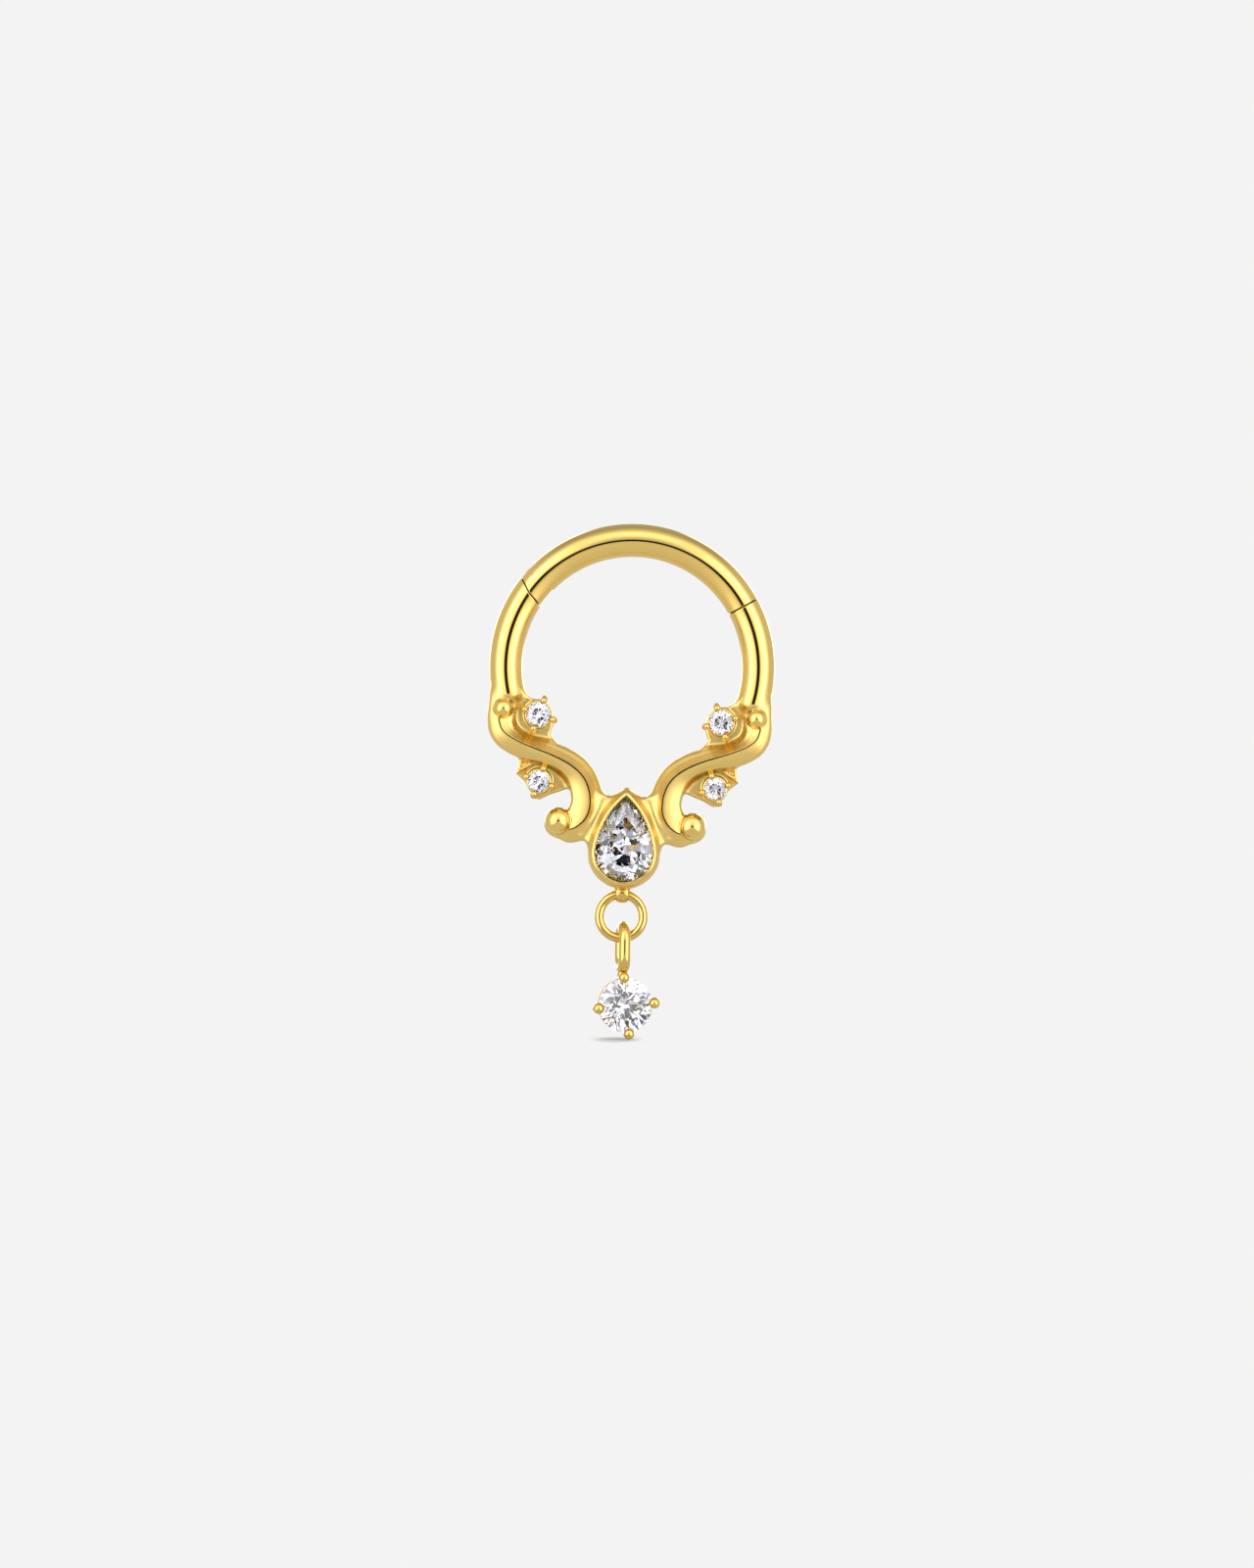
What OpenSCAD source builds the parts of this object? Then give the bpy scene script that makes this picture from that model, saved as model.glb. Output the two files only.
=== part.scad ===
// Clicker ring: hinged wire ring with a cast scroll front, set stones and a drop.
// The origin is the middle of the wire at the top of the ring, where it sits in
// the piercing. +Z is up, -Y is the front and +X is to the right, seen from the front.

/* [Ring wire] */
// Diameter of the round wire, 16 gauge
wire_d = 1.2; // [1.0:0.1:1.4]
// Inner diameter of the ring
ring_id = 8.0; // [7.6:0.1:8.4]
// Angle from the top down to the hinge seam on the left
hinge_seam = 56.7; // [54:0.1:60]
// Angle from the top down to the clasp seam on the right
clasp_seam = 58.9; // [56:0.1:62]
// Hairline gap of both seams
seam_gap = 0.05; // [0.04:0.01:0.08]
// Angle from the top at which the fixed wire ends inside the scrolls
wire_end = 105; // [102:0.5:108]

/* [Hinge and clasp] */
// Radius of the hinge pin
pin_r = 0.13; // [0.11:0.01:0.15]
// Running clearance of the pin in the tongue
pin_clearance = 0.02; // [0.01:0.01:0.03]
// Distance of the pin from the seam's middle, along the wire
pin_along = 0.60; // [0.55:0.01:0.70]
// Distance of the pin from the wire's middle, away from the ring's centre
pin_out = 0.20; // [0.16:0.01:0.24]
// Thickness of the tongue between the fork's cheeks
tongue_t = 0.40; // [0.36:0.02:0.44]
// Side clearance of the tongue in the fork
tongue_clearance = 0.03; // [0.02:0.01:0.05]
// Radius of the round clasp nib
nib_r = 0.30; // [0.25:0.01:0.32]
// Height of the clasp nib over the end of the wire
nib_h = 0.08; // [0.05:0.01:0.09]

/* [Casting] */
// Height of the casting's back behind the middle of the wire
back = 0.45; // [0.40:0.05:0.50]
// Radius of the upper ball ends
upper_ball_r = 0.36; // [0.30:0.01:0.38]
// Radius of the lower ball ends
lower_ball_r = 0.49; // [0.42:0.01:0.50]

/* [Stones] */
// Diameter of the two upper round stones
upper_stone_d = 0.9; // [0.8:0.05:0.9]
// Diameter of the two lower round stones
lower_stone_d = 0.8; // [0.7:0.05:0.8]
// Turn of the four-prong seats towards the ring's centre
seat_turn = 18; // [10:1:25]
// Width of the pear stone
pear_w = 2.09; // [2.0:0.01:2.12]
// Length of the pear stone
pear_l = 3.11; // [3.0:0.01:3.14]
// Wall of the pear bezel
bezel_wall = 0.29; // [0.25:0.01:0.35]
// Diameter of the drop stone
drop_stone_d = 2.0; // [1.9:0.05:2.0]

/* [Link and drop] */
// Outer diameter of the jump ring
link_od = 1.936; // [1.9:0.002:1.98]
// Wire diameter of the jump ring
link_wire = 0.336; // [0.3:0.002:0.34]
// Outer height of the bail
bail_h = 1.92; // [1.8:0.02:2.0]
// Outer depth of the bail
bail_depth = 1.40; // [1.36:0.02:1.5]
// Wire diameter of the bail
bail_wire = 0.43; // [0.40:0.01:0.44]
// Lean of the drop in the plane of the ring
drop_lean = 7.5; // [0:0.5:10]
// Lean of the bail, to the same side
bail_lean = 1.5; // [0:0.5:5]
// Turn of the drop about its own upright axis
drop_yaw = 9; // [0:1:12]

/* [Hidden] */
$fn = 64;
gold = "goldenrod";
clear = "lightcyan";

wire_r = wire_d / 2;
mid_r = ring_id / 2 + wire_r;
// Overlap that joins two shapes of one solid, reach of a cut past a face, and
// length of a cutter that goes right through the piece
join = 0.05;
past = 1;
through = 4;
// Half the seam gap and the reach of a wire past its seam, in degrees of the ring
half_gap_turn = seam_gap / 2 / mid_r * 180 / PI;
seam_reach = 6;
// Hairline gap between pieces that touch
touch = 0.01;

// Shares of a round stone's diameter
crown_share = 0.16;
girdle_share = 0.03;
pavilion_share = 0.43;
table_share = 0.56;

// Places in the plane of the ring, [x, z] from the ring's centre
upper_stone = [3.32, -1.86];
lower_stone = [3.21, -4.29];
pear_tip_z = -4.70;

// Middles of the balls, [x, y, z] from the ring's centre
upper_ball = [4.61, -0.50, -1.69];
lower_ball = [2.44, -0.36, -5.70];
// Foot under each lower ball, where the hook ends
foot_l = 0.6;
foot_shift = 0.12;
foot_extra = 0.02;

// Front of each kind of table, as a height before the middle of the wire
small_table = 0.80;
pear_table = 0.93;

// Scroll sections from the wire down to the hook, each a row of
// [outer x, outer z, ridge x, ridge z, inner x, inner z,
//  heights of the ridge, of the outer and of the inner edge, and of the back]
scroll_rows = [
    [4.95, -0.75, 4.62, -0.90, 4.15, -0.95, 0.35, 0.22, 0.20, 0.25],
    [5.12, -1.20, 4.74, -1.32, 4.14, -1.35, 0.42, 0.30, 0.28, 0.36],
    [5.16, -1.65, 4.78, -1.75, 4.22, -1.75, 0.50, 0.36, 0.36, 0.43],
    [5.19, -2.10, 4.74, -2.15, 4.20, -2.15, 0.64, 0.42, 0.42, 0.45],
    [5.09, -2.60, 4.62, -2.45, 4.05, -2.42, 0.72, 0.48, 0.46, 0.45],
    [4.80, -3.03, 4.36, -2.67, 3.76, -2.62, 0.75, 0.52, 0.46, 0.45],
    [4.30, -3.35, 3.95, -2.88, 3.40, -2.75, 0.75, 0.54, 0.44, 0.45],
    [3.70, -3.56, 3.45, -3.07, 2.95, -2.80, 0.75, 0.56, 0.42, 0.45],
    [3.10, -3.70, 2.85, -3.28, 2.50, -2.94, 0.75, 0.56, 0.40, 0.45],
    [2.60, -3.88, 2.30, -3.52, 2.05, -3.12, 0.75, 0.56, 0.32, 0.45],
    [2.28, -4.13, 1.83, -3.82, 1.60, -3.40, 0.75, 0.56, 0.32, 0.45],
    [2.12, -4.42, 1.54, -4.14, 1.25, -3.77, 0.75, 0.56, 0.32, 0.45],
    [2.04, -4.70, 1.38, -4.50, 1.02, -4.20, 0.75, 0.56, 0.32, 0.45],
    [2.02, -4.95, 1.31, -4.90, 0.85, -4.80, 0.75, 0.56, 0.32, 0.45],
    [2.10, -5.20, 1.34, -5.28, 0.93, -5.35, 0.74, 0.55, 0.32, 0.45],
    [2.25, -5.45, 1.50, -5.62, 1.12, -5.90, 0.70, 0.52, 0.34, 0.45],
    [2.40, -5.65, 1.76, -5.87, 1.50, -6.35, 0.62, 0.47, 0.34, 0.45],
    [2.50, -5.80, 2.05, -5.99, 2.05, -6.50, 0.52, 0.40, 0.30, 0.43],
    [2.60, -5.85, 2.40, -6.00, 2.50, -6.30, 0.42, 0.30, 0.26, 0.40]
];
// Share of a section's width and of its back height that the bevelled back takes
back_edge = 0.18;
back_bevel = 0.5;
// Heights by which the outer face swells and the inner one sinks in its middle
face_swell = 0.04;
cove_dip = 0.03;

// Outline of the plate behind each small stone, [x, z]
upper_plate = [
    [4.40, -1.00], [3.95, -1.00], [3.84, -1.15], [3.50, -1.34], [3.20, -1.38],
    [2.95, -1.60], [2.80, -1.95], [2.76, -2.20], [2.88, -2.55], [2.70, -2.85],
    [3.50, -2.90], [4.40, -2.40]
];
lower_plate = [
    [3.91, -3.45], [4.04, -4.07], [3.62, -4.42], [3.36, -4.95], [3.14, -4.97],
    [2.82, -4.78], [2.43, -4.64], [2.12, -4.50], [2.20, -4.00], [3.00, -3.50]
];
plate_front = 0.28;
plate_back = back - 0.1;
// Spur beside each lower seat, with its three-cornered recess
spur_outline = [[3.92, -3.42], [4.04, -4.07], [3.30, -3.62]];
spur_recess = [[3.86, -3.58], [3.90, -3.84], [3.60, -3.66]];
spur_front = 0.40;
recess_depth = 0.15;

// Web that fills the corners between the scrolls and the bezel: its right half
web_side = [
    [0.25, -4.66], [0.60, -4.73], [1.05, -4.66], [1.35, -5.20], [1.60, -6.20],
    [1.36, -6.44], [1.15, -6.80]
];
web_front = 0.45;

// Seats of the small stones
seat_wall = 0.06;
seat_ledge = 0.10;
prong_r = 0.09;
bead_r = 0.10;
prong_gap = 0.11;
prong_l = 0.70;
bead_lift = 0.06;

// Pear outline: angle at which its sides leave the round end, and its facets
pear_shoulder = 8;
pear_sides = 10;
pear_crown = 0.31;
pear_girdle = 0.06;
pear_pavilion = 0.85;
pear_table_share = 0.62;
pear_culet_share = 0.04;
// Extra length of the bezel over the stone, at its tip, and share by which its
// ledge is wider there
bezel_tip = 0.1;
ledge_tip = 2.4;
bezel_front = 0.80;
bezel_ledge = 0.15;
ledge_front = 0.43;

// Eyelet under the bezel, in the plane across the ring
link_r = link_wire / 2;
link_mid = (link_od - link_wire) / 2;
link_z = -9.10;
eyelet_hole = 0.24;
eyelet_wall = 0.13;
eyelet_half_w = 0.22;
eyelet_z = link_z + link_mid - link_r - touch + eyelet_hole;
neck_size = [0.58, 0.50, 0.24];
neck_z = -7.94;

// Drop: places along its own axis, down from the middle of the bail's top
bail_r = bail_wire / 2;
bail_bend = (bail_depth - bail_wire) / 2;
bail_straight = bail_h - bail_depth;
// Middle of the bail's top, which rests a little to the right in the link
drop_shift = 0.085;
drop_reach = link_mid - link_r - touch - bail_r;
drop_pivot_z = link_z - sqrt(drop_reach * drop_reach - drop_shift * drop_shift);
bail_to_stone = 1.14;
drop_table = 0.50;
drop_bead_r = 0.20;
drop_bead_place = 1.05;
drop_post_r = 0.13;
drop_elbow_r = 0.145;
drop_tip_r = 0.11;
drop_post_place = 1.16;
drop_base_place = 0.55;
drop_base_y = 0.70;
drop_hoop_r = 0.16;
rail_place = 0.87;
rail_y = 0.25;
rail_r = 0.10;
knob_r = 0.20;

// Seam of the hinge in [along the wire, out from its middle], inner end first
seam_line = [[-0.15, -0.60], [0, 0], [0.30, 0.60]];
tongue_r = 0.34;
slot_r = 0.37;
// Half height of the tongue's straight part, as a share of its end's radius
bar_share = 0.8;

// Moves its children from the ring's centre to the part's frame
module at_ring_centre() {
    translate([0, 0, -mid_r]) children();
}

// Extrudes an outline in the ring's plane from one height before the wire's
// middle to another behind it
module plate(outline, front, behind) {
    rotate([90, 0, 0])
        translate([0, 0, -behind])
            linear_extrude(front + behind)
                polygon(outline);
}

module both_sides() {
    children();
    mirror([1, 0, 0]) children();
}

// Arc of the ring wire between two angles from the top, clockwise from the front
module wire_arc(from, to) {
    rotate([90, 0, 0])
        rotate_extrude(start = 90 - to, angle = to - from, $fn = 128)
            translate([mid_r, 0])
                circle(r = wire_r);
}

// Frame of the hinge seam: X along the wire to the top, Z out from the centre
module at_hinge_seam() {
    rotate([0, -hinge_seam, 0])
        translate([0, 0, mid_r])
            children();
}

module at_pin() {
    at_hinge_seam()
        translate([pin_along, 0, pin_out])
            children();
}

// Everything past the bent seam on one side, from half a gap before it; side 1 is
// the segment's side and -1 the fixed wire's
module past_seam(side) {
    reach = 2;
    edge = [for (p = seam_line) [p[0] - side * seam_gap / 2, p[1]]];
    low = [edge[0][0], -reach];
    high = [edge[2][0], reach];
    at_hinge_seam()
        plate(concat([low], edge, [high, [side * reach, reach], [side * reach, -reach]]), past, past);
}

// Cylinder across the ring, centred on its plane
module cross_cylinder(r, length) {
    rotate([90, 0, 0]) cylinder(r = r, h = length, center = true);
}

// Tongue of the fixed wire, with a round end about the pin
module tongue() {
    rise = bar_share * tongue_r;
    at_pin() {
        cross_cylinder(tongue_r, tongue_t);
        translate([-past, -tongue_t / 2, -rise])
            cube([past, tongue_t, 2 * rise]);
    }
}

// Room for the tongue between the segment's cheeks, open to the seam and outwards
module fork_slot() {
    slot_t = tongue_t + 2 * tongue_clearance;
    depth = pin_out + wire_r + join;
    at_pin() {
        cross_cylinder(slot_r, slot_t);
        translate([-past, -slot_t / 2, -depth])
            cube([past, slot_t, depth + join]);
        translate([-past, -slot_t / 2, 0])
            cube([past + slot_r, slot_t, wire_r]);
    }
}

// Round nib on the end of the fixed wire, or its dimple in the segment
module clasp_nib(extra) {
    rotate([0, clasp_seam, 0])
        translate([nib_r - nib_h, 0, mid_r])
            sphere(r = nib_r + extra);
}

// Value of a smooth curve through four rows at share t of the middle span
function curve(a, b, c, d, t) =
    b + t * (c - a) / 2
    + t * t * (a - 2.5 * b + 2 * c - d / 2)
    + t * t * t * ((d - a) / 2 + 1.5 * (b - c));

function row_at(rows, i, t) =
    curve(rows[max(i - 1, 0)], rows[i], rows[i + 1], rows[min(i + 2, len(rows) - 1)], t);

// Point of a section at share s of the way from its outer to its inner edge
function across(row, s) = [row[0] + s * (row[4] - row[0]), row[1] + s * (row[5] - row[1])];

function halfway(p, q) = (p + q) / 2;

// Closed section of the scroll, from the outer edge over the ridge to the back
function scroll_section(row) =
    let (outer = [row[0], row[1]], ridge = [row[2], row[3]], inner = [row[4], row[5]])
    let (top = row[6], outer_side = row[7], inner_side = row[8], behind = row[9])
    let (outer_face = halfway(outer, ridge), inner_face = halfway(ridge, inner))
    let (outer_back = across(row, back_edge), inner_back = across(row, 1 - back_edge))
    let (outer_top = (top + outer_side) / 2 + face_swell)
    let (inner_top = (top + inner_side) / 2 - cove_dip)
    [
        [outer[0], -outer_side, outer[1]],
        [outer_face[0], -outer_top, outer_face[1]],
        [ridge[0], -top, ridge[1]],
        [inner_face[0], -inner_top, inner_face[1]],
        [inner[0], -inner_side, inner[1]],
        [inner[0], back_bevel * behind, inner[1]],
        [inner_back[0], behind, inner_back[1]],
        [outer_back[0], behind, outer_back[1]],
        [outer[0], back_bevel * behind, outer[1]]
    ];

// Faces between rings of n points each, with both ends closed
function loft_faces(rings, n) = concat(
    [[for (k = [0 : n - 1]) k]],
    [for (i = [0 : rings - 2]) for (k = [0 : n - 1])
        [i * n + k, (i + 1) * n + k, (i + 1) * n + (k + 1) % n, i * n + (k + 1) % n]],
    [[for (k = [0 : n - 1]) rings * n - 1 - k]]
);

module loft(sections) {
    polyhedron(
        points = [for (s = sections) each s],
        faces = loft_faces(len(sections), len(sections[0])),
        convexity = 6
    );
}

module scroll() {
    steps = 2;
    last = len(scroll_rows) - 2;
    sections = concat(
        [for (i = [0 : last]) for (k = [0 : steps - 1])
            scroll_section(row_at(scroll_rows, i, k / steps))],
        [scroll_section(scroll_rows[last + 1])]
    );
    loft(sections);
    translate(upper_ball) sphere(r = upper_ball_r);
    translate(lower_ball) sphere(r = lower_ball_r);
    translate([lower_ball[0], foot_shift, lower_ball[2] - foot_shift])
        cross_cylinder(lower_ball_r + foot_extra, foot_l);
}

// Round brilliant with its table towards the front, the girdle's top at height 0
module round_stone(d) {
    r = d / 2;
    girdle = girdle_share * d;
    rotate([90, 0, 0])
        rotate_extrude()
            polygon([
                [0, -girdle - pavilion_share * d],
                [r, -girdle],
                [r, 0],
                [r * table_share, crown_share * d],
                [0, crown_share * d]
            ]);
}

module at_small_stone(place, d) {
    translate([place[0], -small_table + crown_share * d, place[1]]) children();
}

module place_by_turns(count, radius) {
    for (i = [0 : count - 1])
        rotate([0, i * 360 / count, 0])
            translate([radius, 0, 0])
                children();
}

// Cup with a through hole and four prongs, round one small stone
module seat(place, d) {
    ledge = girdle_share * d + seat_ledge * pavilion_share * 2 + touch;
    cup_depth = small_table - crown_share * d + plate_back;
    at_small_stone(place, d) {
        translate([0, ledge + (cup_depth - ledge) / 2, 0])
            cross_cylinder(d / 2 + seat_wall, cup_depth - ledge);
        rotate([0, -seat_turn, 0])
            place_by_turns(4, d / 2 + prong_gap) {
                translate([0, -bead_lift, 0]) sphere(r = bead_r, $fn = 32);
                translate([0, (prong_l - bead_lift) / 2, 0])
                    cross_cylinder(prong_r, prong_l + bead_lift, $fn = 32);
            }
    }
}

module seat_bore(place, d) {
    translate([place[0], 0, place[1]]) cross_cylinder(d / 2 - seat_ledge, through);
}

// Pear outline of a given width and length, its round end centred on the origin
// and its tip up
function pear(w, l) =
    let (r = w / 2, d = l - r)
    let (q = (d * d - r * r) / (2 * r - 2 * d * sin(pear_shoulder)))
    let (centre = [-q * cos(pear_shoulder), -q * sin(pear_shoulder)])
    let (tip_angle = asin((d - centre[1]) / (q + r)))
    let (side = [for (i = [0 : pear_sides - 1])
        let (a = pear_shoulder + (tip_angle - pear_shoulder) * i / pear_sides)
        centre + (q + r) * [cos(a), sin(a)]])
    let (round_end = [for (i = [1 : 2 * pear_sides - 1])
        let (a = 180 - pear_shoulder + (180 + 2 * pear_shoulder) * i / (2 * pear_sides))
        r * [cos(a), sin(a)]])
    concat(
        side,
        [[0, d]],
        [for (i = [pear_sides - 1 : -1 : 0]) [-side[i][0], side[i][1]]],
        round_end
    );

pear_z = pear_tip_z - pear_l + pear_w / 2;

module at_pear() {
    translate([0, 0, pear_z]) children();
}

module pear_bezel() {
    at_pear()
        difference() {
            plate(
                pear(pear_w + 2 * bezel_wall + 2 * touch, pear_l + 2 * bezel_wall + bezel_tip),
                bezel_front, back
            );
            plate(pear(pear_w + 2 * touch, pear_l + 2 * touch), bezel_front + past, -ledge_front);
            plate(pear(pear_w - 2 * bezel_ledge, pear_l - ledge_tip * bezel_ledge), past, past);
        }
}

// Space of the bezel's hollow, which the scrolls beside it stay out of
module pear_hollow() {
    at_pear() plate(pear(pear_w + 2 * touch, pear_l + 2 * touch), bezel_front + past, back + past);
}

function pear_ring(share, y) = [for (p = pear(pear_w, pear_l)) [p[0] * share, y, p[1] * share]];

// Loop across the ring that carries the jump ring, with an oval section
module eyelet() {
    corners = 16;
    translate([0, 0, eyelet_z])
        rotate([0, 90, 0])
            rotate_extrude()
                translate([eyelet_hole + eyelet_wall / 2, 0])
                    polygon([for (i = [0 : corners - 1])
                        [eyelet_wall / 2 * cos(i * 360 / corners), eyelet_half_w * sin(i * 360 / corners)]]);
    translate([0, 0, neck_z]) cube(neck_size, center = true);
}

module spur() {
    difference() {
        plate(spur_outline, spur_front, plate_back);
        plate(spur_recess, spur_front + past, recess_depth - spur_front);
    }
}

module web() {
    last = len(web_side) - 1;
    left_side = [for (i = [last : -1 : 0]) [-web_side[i][0], web_side[i][1]]];
    plate(concat(web_side, left_side), web_front, plate_back);
}

module ring_frame() {
    color(gold)
        at_ring_centre() {
            difference() {
                union() {
                    difference() {
                        wire_arc(-wire_end, -hinge_seam + seam_reach);
                        past_seam(1);
                    }
                    tongue();
                    wire_arc(clasp_seam + half_gap_turn, wire_end);
                    both_sides() {
                        scroll();
                        plate(upper_plate, plate_front, plate_back);
                        plate(lower_plate, plate_front, plate_back);
                        spur();
                        seat(upper_stone, upper_stone_d);
                        seat(lower_stone, lower_stone_d);
                    }
                    web();
                }
                both_sides() {
                    seat_bore(upper_stone, upper_stone_d);
                    seat_bore(lower_stone, lower_stone_d);
                }
                pear_hollow();
                at_pin() cross_cylinder(pin_r + pin_clearance, through);
            }
            clasp_nib(0);
            pear_bezel();
            eyelet();
        }
}

module pear_stone() {
    color(clear)
        at_ring_centre()
            at_pear()
                loft([
                    pear_ring(pear_culet_share, -pear_table + pear_crown + pear_girdle + pear_pavilion),
                    pear_ring(1, -pear_table + pear_crown + pear_girdle),
                    pear_ring(1, -pear_table + pear_crown),
                    pear_ring(pear_table_share, -pear_table)
                ]);
}

module small_stone(place, d, left) {
    color(clear)
        at_ring_centre()
            mirror([left, 0, 0])
                at_small_stone(place, d)
                    round_stone(d);
}

module hinged_segment() {
    color(gold)
        at_ring_centre()
            difference() {
                wire_arc(-hinge_seam - seam_reach, clasp_seam - half_gap_turn);
                past_seam(-1);
                fork_slot();
                at_pin() cross_cylinder(pin_r, through);
                clasp_nib(seam_gap);
            }
}

module hinge_pin() {
    color(gold)
        at_ring_centre()
            intersection() {
                at_pin() cross_cylinder(pin_r, through);
                wire_arc(-hinge_seam - seam_reach, 0);
            }
}

module jump_ring() {
    color(gold)
        at_ring_centre()
            translate([0, 0, link_z])
                rotate([90, 0, 0])
                    rotate_extrude()
                        translate([link_mid, 0])
                            circle(r = link_r);
}

// Frame of the bail: origin in the middle of its top, -Z down its axis
module at_bail() {
    at_ring_centre()
        translate([drop_shift, 0, drop_pivot_z])
            rotate([0, -bail_lean, 0])
                rotate([0, 0, drop_yaw])
                    children();
}

// Frame of the basket, which leans more: origin in the middle of the stone
module at_basket() {
    at_bail()
        translate([0, 0, bail_r - bail_h])
            rotate([0, bail_lean - drop_lean, 0])
                translate([0, 0, -bail_to_stone])
                    children();
}

// Elongated loop in the plane across the ring
module bail() {
    module bend() {
        rotate([0, 90, 0])
            rotate_extrude(start = 90, angle = 180)
                translate([bail_bend, 0])
                    circle(r = bail_r);
    }
    translate([0, 0, -bail_bend]) bend();
    translate([0, 0, -bail_bend - bail_straight]) mirror([0, 0, 1]) bend();
    for (side = [-1, 1])
        translate([0, side * bail_bend, -bail_bend - bail_straight])
            cylinder(r = bail_r, h = bail_straight);
}

// Height of the drop stone's girdle top, as a Y in the drop's frame
drop_girdle_y = -drop_table + crown_share * drop_stone_d;

// One prong from the base ring out past the girdle, ending in a bead
module drop_prong() {
    run = drop_post_place - drop_base_place;
    rise = drop_base_y - drop_girdle_y;
    translate([drop_base_place, drop_base_y, 0])
        rotate([90, 0, 0])
            rotate([0, atan2(run, rise), 0])
                cylinder(r = drop_post_r, h = norm([run, rise]), $fn = 32);
    translate([drop_post_place, drop_girdle_y, 0]) sphere(r = drop_elbow_r, $fn = 32);
    translate([drop_bead_place, drop_girdle_y - drop_bead_r - touch, 0]) sphere(r = drop_bead_r, $fn = 48);
    translate([drop_post_place, drop_girdle_y - drop_bead_r / 2, 0])
        cross_cylinder(drop_tip_r, drop_bead_r, $fn = 32);
}

module hoop(mid, r) {
    rotate([90, 0, 0])
        rotate_extrude()
            translate([mid, 0])
                circle(r = r, $fn = 32);
}

module drop_setting() {
    color(gold)
        union() {
            at_bail() bail();
            at_basket() {
                place_by_turns(4, 0) drop_prong();
                translate([0, drop_base_y, 0]) hoop(drop_base_place, drop_hoop_r);
                translate([0, rail_y, 0]) hoop(rail_place, rail_r);
                translate([0, drop_girdle_y / 2, drop_post_place + drop_post_r]) sphere(r = knob_r);
            }
        }
}

module drop_stone() {
    color(clear)
        at_basket()
            translate([0, drop_girdle_y, 0])
                round_stone(drop_stone_d);
}

ring_frame();
pear_stone();
small_stone(upper_stone, upper_stone_d, 1);  // round_stone_upper_left
small_stone(upper_stone, upper_stone_d, 0);  // round_stone_upper_right
small_stone(lower_stone, lower_stone_d, 1);  // round_stone_lower_left
small_stone(lower_stone, lower_stone_d, 0);  // round_stone_lower_right
hinged_segment();
hinge_pin();
jump_ring();
drop_setting();
drop_stone();
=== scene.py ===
"""Clicker ring in gold plate: a wire ring with a hinged segment, a cast scroll
front with set cubic zirconia, and a round drop on a jump ring.

Shapes are worked out in millimetres from the middle of the ring, with X to the
right, Z up and T towards the front, and moved to the frame's axes at the end.
"""
import math

import bmesh
import bpy
import numpy as np
from mathutils import Matrix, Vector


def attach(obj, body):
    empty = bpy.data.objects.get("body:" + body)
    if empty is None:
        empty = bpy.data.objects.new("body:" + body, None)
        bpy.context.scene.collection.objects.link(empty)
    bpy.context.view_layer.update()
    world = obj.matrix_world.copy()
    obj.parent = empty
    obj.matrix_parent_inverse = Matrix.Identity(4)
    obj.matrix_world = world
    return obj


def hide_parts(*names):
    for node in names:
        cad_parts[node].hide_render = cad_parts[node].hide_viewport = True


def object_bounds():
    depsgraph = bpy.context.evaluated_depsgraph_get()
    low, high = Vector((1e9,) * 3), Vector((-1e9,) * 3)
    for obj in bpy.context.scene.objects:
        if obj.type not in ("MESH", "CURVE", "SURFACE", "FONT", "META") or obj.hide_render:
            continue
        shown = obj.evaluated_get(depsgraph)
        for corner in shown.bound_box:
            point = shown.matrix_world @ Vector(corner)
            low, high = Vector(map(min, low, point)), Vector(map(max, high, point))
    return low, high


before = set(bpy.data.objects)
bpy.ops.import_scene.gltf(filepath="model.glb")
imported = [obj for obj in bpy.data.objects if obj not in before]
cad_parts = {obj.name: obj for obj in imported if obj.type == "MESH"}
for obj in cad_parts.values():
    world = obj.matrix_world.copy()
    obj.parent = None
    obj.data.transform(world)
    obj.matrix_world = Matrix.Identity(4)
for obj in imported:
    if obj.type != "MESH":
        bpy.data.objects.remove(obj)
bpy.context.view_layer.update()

MM = 0.001
DEG = math.pi / 180
FULL_TURN = 2 * math.pi

# Ring wire, as the maker cuts it
WIRE_R = 0.6
MID_R = 4.6
HINGE_SEAM = -56.7 * DEG
CLASP_SEAM = 58.9 * DEG
SEAM_GAP = 0.05
WIRE_END = 105 * DEG
RIM = 0.02

# Bent seam of the hinge: distances out from the wire's middle, and along the wire
SEAM_OUT = [-0.60, 0.0, 0.60]
SEAM_ALONG = [-0.15, 0.0, 0.30]

# Hinge: the pin along and out from the seam's middle, tongue and fork
PIN_ALONG = 0.60
PIN_OUT = 0.20
PIN_R = 0.13
PIN_SHORT = 0.02
PIN_CLEARANCE = 0.02
TONGUE_R = 0.34
TONGUE_T = 0.40
TONGUE_BAR = 0.27
FORK_R = 0.37
FORK_T = 0.46
NIB_R = 0.30
NIB_H = 0.08

# Cast front: heights are towards the front from the wire's middle plane
BACK = 0.45
UPPER_BALL = (4.61, -1.69, 0.52, 0.36)
LOWER_BALL = (2.44, -5.70, 0.36, 0.49)
# Foot behind each lower ball: how much lower and wider it is, and its two faces
FOOT_DROP = 0.12
FOOT_MORE = 0.02
FOOT_FRONT = 0.18
FOOT_BACK = 0.42

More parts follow.
